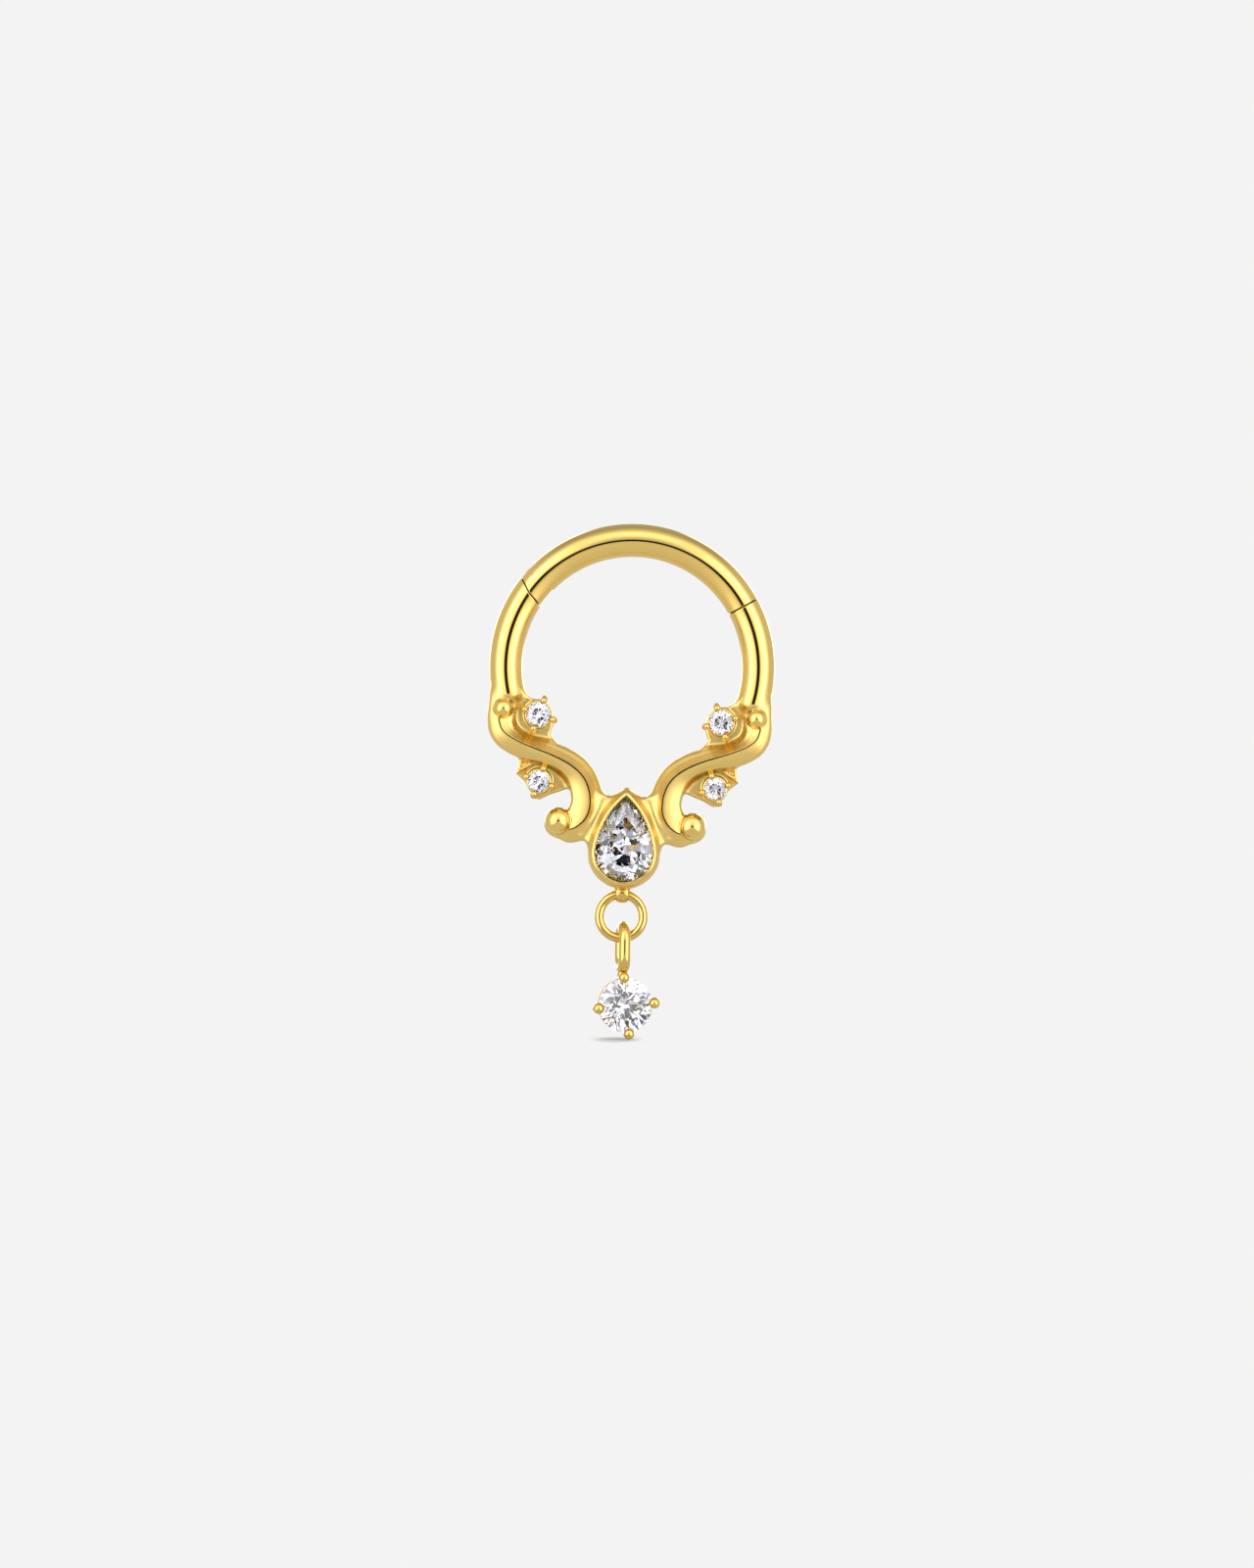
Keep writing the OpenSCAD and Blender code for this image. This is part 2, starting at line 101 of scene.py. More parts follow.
# Sections of the scroll from the wire down to the hook, as [outer x, outer z,
# ridge x, ridge z, inner x, inner z, heights of the ridge and of the two edges]
SCROLL = [
    [4.95, -0.75, 4.62, -0.90, 4.15, -0.95, 0.35, 0.22, 0.20],
    [5.12, -1.20, 4.74, -1.32, 4.14, -1.35, 0.42, 0.30, 0.28],
    [5.16, -1.65, 4.78, -1.75, 4.22, -1.75, 0.50, 0.36, 0.36],
    [5.19, -2.10, 4.74, -2.15, 4.20, -2.15, 0.64, 0.42, 0.42],
    [5.09, -2.60, 4.62, -2.45, 4.05, -2.42, 0.72, 0.48, 0.46],
    [4.80, -3.03, 4.36, -2.67, 3.76, -2.62, 0.75, 0.52, 0.46],
    [4.30, -3.35, 3.95, -2.88, 3.40, -2.75, 0.75, 0.54, 0.44],
    [3.70, -3.56, 3.45, -3.07, 2.95, -2.80, 0.75, 0.56, 0.42],
    [3.10, -3.70, 2.85, -3.28, 2.50, -2.94, 0.75, 0.56, 0.40],
    [2.60, -3.88, 2.30, -3.52, 2.05, -3.12, 0.75, 0.56, 0.36],
    [2.28, -4.13, 1.83, -3.82, 1.60, -3.40, 0.75, 0.56, 0.32],
    [2.12, -4.42, 1.54, -4.14, 1.25, -3.77, 0.75, 0.56, 0.32],
    [2.04, -4.70, 1.38, -4.50, 1.02, -4.20, 0.75, 0.56, 0.32],
    [2.02, -4.95, 1.31, -4.90, 0.85, -4.80, 0.75, 0.56, 0.32],
    [2.10, -5.20, 1.34, -5.28, 0.93, -5.35, 0.74, 0.55, 0.32],
    [2.25, -5.45, 1.50, -5.62, 1.12, -5.90, 0.70, 0.52, 0.34],
    [2.40, -5.65, 1.76, -5.87, 1.50, -6.35, 0.62, 0.47, 0.34],
    [2.50, -5.80, 2.05, -5.99, 2.05, -6.50, 0.52, 0.40, 0.30],
    [2.60, -5.85, 2.40, -6.00, 2.50, -6.30, 0.42, 0.30, 0.26],
]
# Bend of the scroll's flat outer face and of its hollow inner face, and half the width of the flat line
# along its ridge, on which a dark reflection is painted
FACE_BEND = 1.7
COVE_BEND = 1.3
RIDGE_FLAT = 0.026

# Plates behind the small stones, the web that fills the corners between scrolls
# and bezel, and the spur beside each lower seat
UPPER_PLATE = [
    (4.40, -1.00), (3.95, -1.00), (3.84, -1.15), (3.50, -1.34), (3.20, -1.38),
    (2.95, -1.60), (2.80, -1.95), (2.76, -2.20), (2.88, -2.55), (2.70, -2.85),
    (3.50, -2.90), (4.40, -2.40),
]
LOWER_PLATE = [
    (3.91, -3.45), (4.04, -4.07), (3.62, -4.42), (3.36, -4.95), (3.14, -4.97),
    (2.82, -4.78), (2.43, -4.64), (2.12, -4.50), (2.20, -4.00), (3.00, -3.50),
]
WEB = [
    (-0.30, -4.62), (0.25, -4.66), (0.60, -4.73), (1.05, -4.66), (1.35, -5.20),
    (1.60, -6.20), (1.36, -6.44), (1.15, -6.80), (-0.30, -6.80),
]
SPUR = [(3.92, -3.42), (4.04, -4.07), (3.30, -3.62)]
SPUR_RECESS = [(3.86, -3.58), (3.90, -3.84), (3.60, -3.66)]
PLATE_FRONT = 0.28
PLATE_BACK = 0.35
WEB_FRONT = 0.50
SPUR_FRONT = 0.40
RECESS_FLOOR = 0.25

# Fillet where each part of the casting joins the rest, and rounding of its edges
FILLETS = {
    "wire": 0.20, "plates": 0.20, "spur": 0.06, "upper ball": 0.05, "lower ball": 0.06,
    "foot": 0.12, "seat": 0.10, "web": 0.25, "bezel": 0.22, "neck": 0.08, "between plates": 0.05,
}
ROUNDS = {
    "scroll": 0.14, "plates": 0.10, "spur": 0.06, "recess": 0.04, "wire": 0.30, "foot": 0.12,
    "cup": 0.05, "web": 0.20, "rim": 0.08, "back": 0.14, "bearing": 0.02, "hollow": 0.015,
}
# Share of a height over the sloping faces that is about a true distance
SLOPED = 0.75
# Wire within the casting: how far it lies below the fixed wire's surface and runs
# past its end, and its top
SUNK = 0.0015
PAST_END = 3 * DEG
CAST_TOP = -0.68

# Small stones: place and diameter, height of their tables, turn of their prongs
UPPER_STONE = (3.32, -1.86, 0.9)
LOWER_STONE = (3.21, -4.29, 0.8)
SMALL_TABLE = 0.80
SEAT_TURN = 18 * DEG
# Cup round each: its wall, its drop below the girdle, and how far inside the girdle
# its bore is
SEAT_WALL = 0.06
SEAT_BELOW = 0.10
BORE_INSET = 0.12
# Cone that the stone bears on: its gap, its start over the girdle, how far out it
# runs for its depth, and the share of that which is about a true distance
BEARING_GAP = 0.005
BEARING_RISE = 0.02
BEARING_SLOPE = 0.9
BEARING_SHARE = 0.7

# Shares of a round stone's diameter
CROWN = 0.16
GIRDLE = 0.03
PAVILION = 0.43

# Pear stone and its bezel
PEAR_W = 2.09
PEAR_L = 3.11
PEAR_TIP = -4.70
PEAR_TABLE = 0.93
PEAR_CROWN = 0.31
PEAR_GIRDLE = 0.06
PEAR_PAVILION = 0.85
PEAR_SHOULDER = 8 * DEG
PEAR_MID = PEAR_TIP - PEAR_L + PEAR_W / 2
# Middle of its facets from that of its round end, half its keel, its gap in the bezel
PEAR_MIDDLE = (0, 0.30)
PEAR_KEEL = 0.75
PEAR_GAP = 0.01
BEZEL_WALL = 0.29
BEZEL_FRONT = 0.80
BEZEL_LIP = 0.05
BEZEL_FALL = 0.34
LEDGE = 0.15
LEDGE_FRONT = 0.43

# Neck under the bezel by its half sizes, eyelet, and the jump ring
NECK = (0.26, 0.22, 0.20)
NECK_Z = -7.98
EYELET_Z = -8.238
EYELET_HOLE = 0.24
EYELET_WALL = 0.13
EYELET_HALF_WIDTH = 0.22
LINK_Z = -9.10
LINK_MID = 0.80
LINK_WIRE = 0.168

# Drop: places down from the middle of the bail's bottom, and out from its stone
DROP_PIVOT = (0.085, -9.498)
BAIL_LEAN = 1.5 * DEG
DROP_LEAN = 7.5 * DEG
DROP_YAW = 9 * DEG
BAIL_WIRE = 0.215
BAIL_HEIGHT = 1.92
BAIL_DEPTH = 1.40
DROP_STONE = 2.0
DROP_TABLE = 0.50
DROP_CENTRE = 1.14
KNOB_UP = 1.15


# Nodes and colours

def linear(code):
    """Linear RGBA of an sRGB hex colour."""
    parts = [int(code[i:i + 2], 16) / 255 for i in (1, 3, 5)]
    return [c / 12.92 if c <= 0.04045 else ((c + 0.055) / 1.055) ** 2.4 for c in parts] + [1]


def feed(node, inputs):
    """Sets or links inputs of a node by name or number; a node given as a value stands
    for its first output."""
    for name, value in inputs.items():
        if isinstance(value, bpy.types.Node):
            value = value.outputs[0]
        if isinstance(value, bpy.types.NodeSocket):
            node.id_data.links.new(value, node.inputs[name])
        else:
            node.inputs[name].default_value = value


def add(tree, kind, inputs=None, **settings):
    """Adds a node with its settings and inputs."""
    made = tree.nodes.new(kind)
    for name, value in settings.items():
        setattr(made, name, value)
    feed(made, inputs or {})
    return made


# Outlines and heights in the plane of the ring

def smooth_rows(rows, steps):
    """Rows of a table with smooth in-between rows, through every given one."""
    rows = np.array(rows, float)
    ends = np.vstack([2 * rows[0] - rows[1], rows, 2 * rows[-1] - rows[-2]])
    t = np.arange(steps)[:, None] / steps
    made = []
    for a, b, c, d in zip(ends, ends[1:], ends[2:], ends[3:]):
        made.append(b + t * (c - a) / 2 + t ** 2 * (a - 2.5 * b + 2 * c - d / 2)
                    + t ** 3 * ((d - a) / 2 + 1.5 * (b - c)))
    return np.vstack(made + [rows[-1:]])


def nearest_on(path, x, z):
    """Distance to a path, and the place along it, of every point."""
    best = np.full(x.shape, 1e9)
    place = np.zeros(x.shape)
    for i, (a, b) in enumerate(zip(path, path[1:])):
        d = b - a
        s = np.clip(((x - a[0]) * d[0] + (z - a[1]) * d[1]) / max(d @ d, 1e-12), 0, 1)
        gap = np.hypot(x - a[0] - s * d[0], z - a[1] - s * d[1])
        closer = gap < best
        best = np.where(closer, gap, best)
        place = np.where(closer, i + s, place)
    return best, place


def inside_outline(outline, x, z):
    """True where a point lies inside a closed outline."""
    inside = np.zeros(x.shape, bool)
    for a, b in zip(outline, np.roll(outline, -1, 0)):
        crosses = (a[1] > z) != (b[1] > z)
        run = (b[0] - a[0]) * (z - a[1]) / (b[1] - a[1] + 1e-15) + a[0]
        inside ^= crosses & (x < run)
    return inside


def signed_distance(outline, x, z):
    """Distance to a closed outline, below 0 inside it."""
    outline = np.array(outline, float)
    gap, _ = nearest_on(np.vstack([outline, outline[:1]]), x, z)
    return np.where(inside_outline(outline, x, z), -gap, gap)


def arc(start, end, count):
    """Points of an arc of radius 1, up to the one before its end."""
    turns = np.linspace(start, end, count, endpoint=False)
    return np.stack([np.cos(turns), np.sin(turns)], 1)


def pear_outline(count):
    """Outline of the pear from its middle, tip up: a round end and two long arcs."""
    r = PEAR_W / 2
    d = PEAR_L - r
    q = (d * d - r * r) / (2 * r - 2 * d * math.sin(PEAR_SHOULDER))
    centre = np.array([-q * math.cos(PEAR_SHOULDER), -q * math.sin(PEAR_SHOULDER)])
    tip = math.asin((d - centre[1]) / (q + r))
    side = centre + (q + r) * arc(PEAR_SHOULDER, tip, count)
    end = r * arc(math.pi - PEAR_SHOULDER, FULL_TURN + PEAR_SHOULDER, 2 * count)[1:]
    return np.vstack([side, [[0, d]], (side * [-1, 1])[::-1], end])


SCROLL_ROWS = smooth_rows(SCROLL, 8)


def scroll_height(x, z):
    """Height of the scroll's front over points in the plane of the ring."""
    outer, ridge, inner = (SCROLL_ROWS[:, k:k + 2] for k in (0, 2, 4))
    gap, place = nearest_on(ridge, x, z)
    i = np.clip(place.astype(int), 0, len(ridge) - 2)
    along = ridge[i + 1] - ridge[i]
    on_inner = (z - ridge[i, 1]) * along[..., 0] < (x - ridge[i, 0]) * along[..., 1]
    gap = np.maximum(gap - RIDGE_FLAT, 0)
    to_outer, to_inner = (nearest_on(side, x, z)[0] for side in (outer, inner))
    marks = np.arange(len(ridge))
    top, outer_side, inner_side = (np.interp(place, marks, SCROLL_ROWS[:, k]) for k in (6, 7, 8))
    face = 1 - (gap / (gap + to_outer + 1e-9)) ** FACE_BEND
    cove = (1 - gap / (gap + to_inner + 1e-9)) ** COVE_BEND
    return np.where(on_inner, inner_side + (top - inner_side) * cove,
                    outer_side + (top - outer_side) * face)


class Chart:
    """Values worked out once on a fine sheet over the right half of the front, and
    read between its points after that."""

    def __init__(self, low, high, step):
        self.low = np.array(low, float)
        self.step = step
        self.counts = np.ceil((np.array(high) - low) / step).astype(int) + 1
        xs = low[0] + step * np.arange(self.counts[0])
        zs = low[1] + step * np.arange(self.counts[1])
        x, z = np.meshgrid(xs, zs, indexing="ij")
        outer, inner = SCROLL_ROWS[:, 0:2], SCROLL_ROWS[:, 4:6]
        outlines = {
            "scroll": np.vstack([outer, inner[::-1]]), "pear": pear_outline(20) + [0, PEAR_MID],
            "upper_plate": UPPER_PLATE, "lower_plate": LOWER_PLATE, "web": WEB, "spur": SPUR,
            "recess": SPUR_RECESS,
        }
        self.sheets = {"scroll_height": scroll_height(x, z)}
        for name, outline in outlines.items():
            self.sheets[name] = signed_distance(outline, x, z)

    def read(self, name, x, z):
        """Values of one sheet between its points."""
        u = np.clip((x - self.low[0]) / self.step, 0, self.counts[0] - 1.001)
        v = np.clip((z - self.low[1]) / self.step, 0, self.counts[1] - 1.001)
        i, j = u.astype(int), v.astype(int)
        u, v = u - i, v - j
        sheet = self.sheets[name]
        return ((1 - u) * ((1 - v) * sheet[i, j] + v * sheet[i, j + 1])
                + u * ((1 - v) * sheet[i + 1, j] + v * sheet[i + 1, j + 1]))


CHART_LOW = (-0.1, -8.5)
CHART_HIGH = (5.5, -0.4)
CHART_STEP = 0.02
CHART = Chart(CHART_LOW, CHART_HIGH, CHART_STEP)


# Solids of the cast front, as distances that are below 0 inside

# How far out the bezel's rounded wall is followed, as a share of its thickness
WALL_END = 1.2
# Settling points onto a surface: reach of the slope, and the longest move in a step
SETTLE_REACH = 0.005
LONGEST_MOVE = 0.03


def join(a, b, r):
    """Union of two solids with a fillet of about radius r."""
    h = np.clip(0.5 + 0.5 * (b - a) / r, 0, 1)
    return b + (a - b) * h - r * h * (1 - h)


def cut(a, b, r):
    """Overlap of two solids with an edge rounded by about r."""
    return -join(-a, -b, r)


def ball(x, t, z, place):
    return np.sqrt((x - place[0]) ** 2 + (z - place[1]) ** 2 + (t - place[2]) ** 2) - place[3]


def slab(outline, t, front, back, r):
    """Plate with rounded rims between a height before and one behind the wire."""
    return cut(outline, np.maximum(t - front, -t - back), r)


def scroll_solid(x, t, z):
    front = (t - CHART.read("scroll_height", x, z)) * SLOPED
    scroll = cut(CHART.read("scroll", x, z), front, ROUNDS["scroll"])
    return cut(scroll, -t - BACK, ROUNDS["back"])


def bezel_solid(x, t, z):
    """Pear bezel with a wall that rounds over from its side to its rim."""
    pear = CHART.read("pear", x, z)
    edge = np.clip((pear - BEZEL_LIP) / (BEZEL_WALL - BEZEL_LIP), 0, WALL_END)
    rise = BEZEL_FRONT - BEZEL_FALL * edge ** 2
    steep = 2 * BEZEL_FALL * edge / (BEZEL_WALL - BEZEL_LIP)
    bezel = cut(pear - BEZEL_WALL, (t - rise) / np.sqrt(1 + steep ** 2), ROUNDS["rim"])
    return cut(bezel, -t - BACK, ROUNDS["back"])


def casting(x, t, z):
    """The whole cast front, about the ends of the ring's fixed wires: its parts are
    joined in turn, and the stones' hollows are cut out of them."""
    x = np.abs(x)

    def flat(name, front, part):
        return slab(CHART.read(name, x, z), t, front, PLATE_BACK, ROUNDS[part])

    wire = np.hypot(np.hypot(x, z) - MID_R, t) - WIRE_R + SUNK
    past_end = (np.arctan2(x, z) - WIRE_END - PAST_END) * MID_R
    plates = [flat(name, PLATE_FRONT, "plates") for name in ("upper_plate", "lower_plate")]
    recess = np.maximum(CHART.read("recess", x, z), RECESS_FLOOR - t)
    foot = np.hypot(x - LOWER_BALL[0], z - LOWER_BALL[1] + FOOT_DROP) - LOWER_BALL[3] - FOOT_MORE
    parts = [
        ("wire", np.maximum(cut(wire, past_end, ROUNDS["wire"]), z - CAST_TOP)),
        ("plates", join(*plates, FILLETS["between plates"])),
        ("spur", cut(flat("spur", SPUR_FRONT, "spur"), -recess, ROUNDS["recess"])),
        ("upper ball", ball(x, t, z, UPPER_BALL)),
        ("lower ball", ball(x, t, z, LOWER_BALL)),
        ("foot", slab(foot, t, FOOT_FRONT, FOOT_BACK, ROUNDS["foot"])),
    ]
    seats = []
    for place_x, place_z, d in (UPPER_STONE, LOWER_STONE):
        reach = np.hypot(x - place_x, z - place_z) - d / 2
        girdle_t = SMALL_TABLE - CROWN * d
        cup = slab(reach - SEAT_WALL, t, girdle_t - SEAT_BELOW, PLATE_BACK, ROUNDS["cup"])
        parts.append(("seat", cup))
        below = np.clip(t - girdle_t + BEARING_RISE, -2, 0)
        cone = (reach - BEARING_GAP - below * BEARING_SLOPE) * BEARING_SHARE
        seats.append(np.minimum(cone, reach + BORE_INSET))
    neck = np.maximum(np.maximum(x - NECK[0], np.abs(t) - NECK[1]), np.abs(z - NECK_Z) - NECK[2])
    parts += [("web", flat("web", WEB_FRONT, "web")), ("bezel", bezel_solid(x, t, z)), ("neck", neck)]
    body = scroll_solid(x, t, z)
    for name, part in parts:
        body = join(body, part, FILLETS[name])
    for seat in seats:
        body = cut(body, -seat, ROUNDS["bearing"])
    pear = CHART.read("pear", x, z)
    hollow = np.minimum(np.maximum(pear - PEAR_GAP, LEDGE_FRONT - t), pear + LEDGE)
    return cut(body, -hollow, ROUNDS["hollow"])


def surface_net(solid, low, high, step):
    """Mesh of a solid's surface: a point in each cell that it crosses, and a quad
    round each grid line that it crosses. Nothing may reach the grid's faces."""
    counts = [int(math.ceil((b - a) / step)) + 1 for a, b in zip(low, high)]
    axes = [a + step * np.arange(n) for a, n in zip(low, counts)]
    value = solid(*np.meshgrid(*axes, indexing="ij", sparse=True))
    inside = value < 0
    cells = tuple(n - 1 for n in counts)
    hits = np.zeros(cells, int)
    for i, j, k in np.ndindex(2, 2, 2):
        hits += inside[i:i + cells[0], j:j + cells[1], k:k + cells[2]]
    active = (hits > 0) & (hits < 8)
    numbers = np.full(cells, -1)
    numbers[active] = np.arange(active.sum())
    where = np.argwhere(active)
    total = np.zeros((len(where), 3))
    found = np.zeros(len(where))
    quads = []
    for axis in range(3):
        u, v = [k for k in range(3) if k != axis]
        for a, b in np.ndindex(2, 2):
            start = np.zeros(3, int)
            start[u] = a
            start[v] = b
            end = start.copy()
            end[axis] = 1
            p = value[tuple((where + start).T)]
            q = value[tuple((where + end).T)]
            crossed = (p < 0) != (q < 0)
            point = np.tile(start.astype(float), (len(where), 1))
            point[:, axis] = np.where(crossed, p / np.where(p == q, 1, p - q), 0)
            total += point * crossed[:, None]
            found += crossed
        keep = [slice(1, -1)] * 3
        keep[axis] = slice(0, -1)
        changed = inside != np.roll(inside, -1, axis)
        at = np.argwhere(changed[tuple(keep)]) + [0 if k == axis else 1 for k in range(3)]
        ring = []
        for du, dv in ((0, 0), (-1, 0), (-1, -1), (0, -1)):
            cell = at.copy()
            cell[:, u] += du
            cell[:, v] += dv
            ring.append(numbers[tuple(cell.T)])
        quad = np.stack(ring, 1)
        turned = inside[tuple(at.T)] != (axis == 1)
        quad[turned] = quad[turned][:, ::-1]
        quads.append(quad)
    return np.array(low) + step * (where + total / found[:, None]), np.vstack(quads)


def slope(solid, points, reach):
    """Direction in which a solid's distance grows at each point, over a reach."""
    made = np.zeros(points.shape)
    for k in range(3):
        step = np.zeros(3)
        step[k] = reach
        made[:, k] = solid(*(points + step).T) - solid(*(points - step).T)
    return made / (2 * reach)


def settle(solid, points):
    """Moves points onto a solid's surface, in three steps of limited length."""
    for _ in range(3):
        grows = slope(solid, points, SETTLE_REACH)
        move = solid(*points.T) / np.maximum((grows ** 2).sum(1), 0.05)
        points = points - np.clip(move, -LONGEST_MOVE, LONGEST_MOVE)[:, None] * grows
    return points


# Meshes and pieces

def to_frame(points):
    """Points in [x, t, z] from the ring's middle, in the frame's axes."""
    points = np.asarray(points, float)
    return np.stack([points[:, 0], -points[:, 1], points[:, 2] - MID_R], 1)


class Shell:
    """Points in [x, t, z], and faces with the number of their finish."""

    def __init__(self):
        self.points = []
        self.faces = []
        self.finish = []

    def face(self, corners, finish=0):
        self.faces.append(tuple(corners))
        self.finish.append(finish)

    def sheet(self, rows, wrap=False, finish=None):
        """Quads between rows of points; wrap closes each row into a ring, and finish
        gives each column's number."""
        first = len(self.points)
        n = len(rows[0])
        columns = n if wrap else n - 1
        for row in rows:
            self.points.extend(row)
        for i in range(len(rows) - 1):
            for k in range(columns):
                a = first + i * n + k
                b = first + i * n + (k + 1) % n
                self.face((a, b, b + n, a + n), finish[k] if finish else 0)
        return first

    def close(self, first, n):
        """Closes a ring of n points with strips between its two sides."""
        for k in range(n // 2):
            corners = (k, k + 1, (n - k - 1) % n, (n - k) % n)
            self.face(first + c for c in dict.fromkeys(corners))

    def tube(self, rows, finish=None):
        """Closed tube through rings of points."""
        first = self.sheet(rows, wrap=True, finish=finish)
        n = len(rows[0])
        self.close(first, n)
        self.close(first + (len(rows) - 1) * n, n)

    def mesh(self, name):
        """Mesh of the shell in the frame's axes, with its faces outwards."""
        made = bpy.data.meshes.new(name)
        made.from_pydata(to_frame(self.points).tolist(), [], self.faces)
        made.polygons.foreach_set("material_index", self.finish)
        face_out(made)
        made.shade_smooth()
        return made


def face_out(mesh):
    """Merges the doubles of a closed mesh and turns its faces outwards."""
    work = bmesh.new()
    work.from_mesh(mesh)
    bmesh.ops.remove_doubles(work, verts=work.verts, dist=1e-5)
    bmesh.ops.recalc_face_normals(work, faces=work.faces)
    work.to_mesh(mesh)
    work.free()


def ready_shape(draw, **sizes):
    """Mesh of one of the shapes that bmesh has an operation for."""
    mesh = bpy.data.meshes.new("ready_shape")
    work = bmesh.new()
    draw(work, **sizes)
    work.to_mesh(mesh)
    work.free()
    return mesh


def in_scene(name, data):
    """New object of a mesh or a camera, in the scene at its origin."""
    made = bpy.data.objects.new(name, data)
    bpy.context.scene.collection.objects.link(made)
    return made


def set_piece(name, mesh, body, nodes, materials):
    """Sets a mesh in millimetres in the scene as a piece that rides on a body and
    stands for some nodes."""
    mesh.transform(Matrix.Scale(MM, 4))
    for material in materials:
        mesh.materials.append(material)
    made = in_scene(name, mesh)
    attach(made, body)
    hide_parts(*nodes)


# Cast front and scroll faces

CAST_STEP = 0.045
CAST_LOW = (-CAST_STEP / 2, -0.66, -8.35)
CAST_HIGH = (5.35, 0.98, -0.60)
# Where polish is full and where it ends: away from a ball, out from the pear's edge,
# and up the wire
BALL_POLISH = (0.009, 0.039)
RIM_POLISH = (0.11, 0.16)
WIRE_POLISH = (-0.90, -1.25)
# Painted shade in the recesses: how far out from the surface a recess is felt for, how far beyond the
# pear's edge it starts to count, and its least share in the spur and how far from that it is whole
FEELERS = (0.12, 0.25, 0.45)
OPEN_PEAR = 0.03
SPUR_LEAST = 0.2
SPUR_REACH = 0.1
# Reach over which the casting's normals are taken
NORMAL_REACH = 0.02


def fade(value, full, none):
    """Share that is 1 up to one value and 0 from another on."""
    return np.clip((none - value) / (none - full), 0, 1)


def polish(points):
    """Share of polish over the satin: full on the balls, the bezel's rim and the
    stretch of wire at the top."""
    x, t, z = np.abs(points[:, 0]), points[:, 1], points[:, 2]
    away = np.minimum(ball(x, t, z, UPPER_BALL), ball(x, t, z, LOWER_BALL))
    on_rim = fade(CHART.read("pear", x, z), *RIM_POLISH) * (t > LEDGE_FRONT)
    return np.maximum(np.maximum(fade(away, *BALL_POLISH), on_rim), fade(z, *WIRE_POLISH))


def recess(points, normals):
    """Share by which each point lies in a recess, which sets how much shade is painted into the satin's
    colour: how much nearer the metal is, a little way out along the normal, than over a flat face. The
    pear's hollow, which the stone lets light into, counts as open."""
    found = np.zeros(len(points))
    for out in FEELERS:
        away = points + out * normals * [1, -1, 1]
        found += fade(casting(*away.T), 0, SLOPED * out) / len(FEELERS)
    x, z = np.abs(points[:, 0]), points[:, 2]
    in_spur = np.clip(CHART.read("spur", x, z) / SPUR_REACH, SPUR_LEAST, 1)
    return found * in_spur * (CHART.read("pear", x, z) > OPEN_PEAR)


def cast_front():
    """Mesh of the casting, both halves, with the true surface's normals."""
    points, quads = surface_net(casting, CAST_LOW, CAST_HIGH, CAST_STEP)
    points = settle(casting, points)
    in_middle = np.abs(points[:, 0]) < CAST_STEP / 2
    points[in_middle, 0] = 0
    other = np.where(in_middle, np.arange(len(points)), 0)
    other[~in_middle] = len(points) + np.arange((~in_middle).sum())
    both = np.vstack([points, points[~in_middle] * [-1, 1, 1]])
    faces = np.vstack([quads, other[quads][:, ::-1]])
    mesh = bpy.data.meshes.new("cast_front")
    mesh.from_pydata(to_frame(both).tolist(), [], faces.tolist())
    mesh.shade_smooth()
    normals = slope(casting, both, NORMAL_REACH)
    normals = normals / np.linalg.norm(normals, axis=1)[:, None] * [1, -1, 1]
    mesh.normals_split_custom_set_from_vertices(normals.tolist())
    # The recess attribute sets how much shade is painted into the satin's colour
    for label, value in (("polish", polish(both)), ("recess", recess(both, normals))):
        mesh.attributes.new(label, "FLOAT", "POINT").data.foreach_set("value", value)
    return mesh


# Skins on the scroll: height over the casting, bare rim, least width, depth behind, rows
# to a section and columns on each side of the ridge, which crowd towards it, and how
# far and from what share on their edges dip into the casting
FACE_LIFT = 0.006
FACE_EDGE = 0.15
FACE_LEAST = 0.02
FACE_DEPTH = 0.12
FACE_ROWS = 12
FACE_COLUMNS = 12
FACE_CROWD = 1.3
FACE_DIP = 0.035
DIP_FROM = 0.55


def scroll_faces():
    """Thin skins on the scrolls that carry the crisp ridge and the dark reflection painted on it: each row
    runs from near the outer edge over the ridge to near the inner edge, and back below."""
    rows = smooth_rows(SCROLL, FACE_ROWS)
    shares = np.linspace(1, 0, FACE_COLUMNS) ** FACE_CROWD
    halves = []
    for edge in (rows[:, 0:2], rows[:, 4:6]):
        ridge = rows[:, 2:4]
        width = np.linalg.norm(edge - ridge, axis=1)
        reach = RIDGE_FLAT + shares * np.maximum(width - FACE_EDGE - RIDGE_FLAT, FACE_LEAST)[:, None]
        places = ridge[:, None] + ((edge - ridge) / width[:, None])[:, None] * reach[..., None]
        lift = FACE_LIFT - FACE_DIP * np.clip((shares - DIP_FROM) / (1 - DIP_FROM), 0, 1) ** 2
        height = scroll_height(places[..., 0], places[..., 1]) + lift
        halves.append(np.stack([places[..., 0], height, places[..., 1]], 2))
    top = np.concatenate([halves[0], halves[1][:, ::-1]], 1)
    rings = np.concatenate([top, top[:, ::-1] - [0, FACE_DEPTH, 0]], 1)
    columns = 4 * FACE_COLUMNS
    # The column on the ridge takes the second material, a painted dark reflection
    finish = [int(k == FACE_COLUMNS - 1) for k in range(columns)]
    shell = Shell()
    for side in (1, -1):
        shell.tube(rings * [side, 1, 1], finish)
    mesh = shell.mesh("scroll_faces")
    edges = np.array([e.vertices[:] for e in mesh.edges])
    column = edges % columns
    on_line = (column[:, 0] == column[:, 1]) & np.isin(column[:, 0], (FACE_COLUMNS - 1, FACE_COLUMNS))
    sharp = mesh.attributes.new("sharp_edge", "BOOLEAN", "EDGE")
    sharp.data.foreach_set("value", on_line)
    return mesh


# Wires of the ring

# Points round a wire, and rings along the fixed ones and along the segment
AROUND = 96
FIXED_RINGS = 90
SEGMENT_RINGS = 200
# Shoulder that stands in each seam, below the wire's surface, and takes the seams' painted shade
SHOULDER_L = 0.04
SHOULDER_R = 0.53
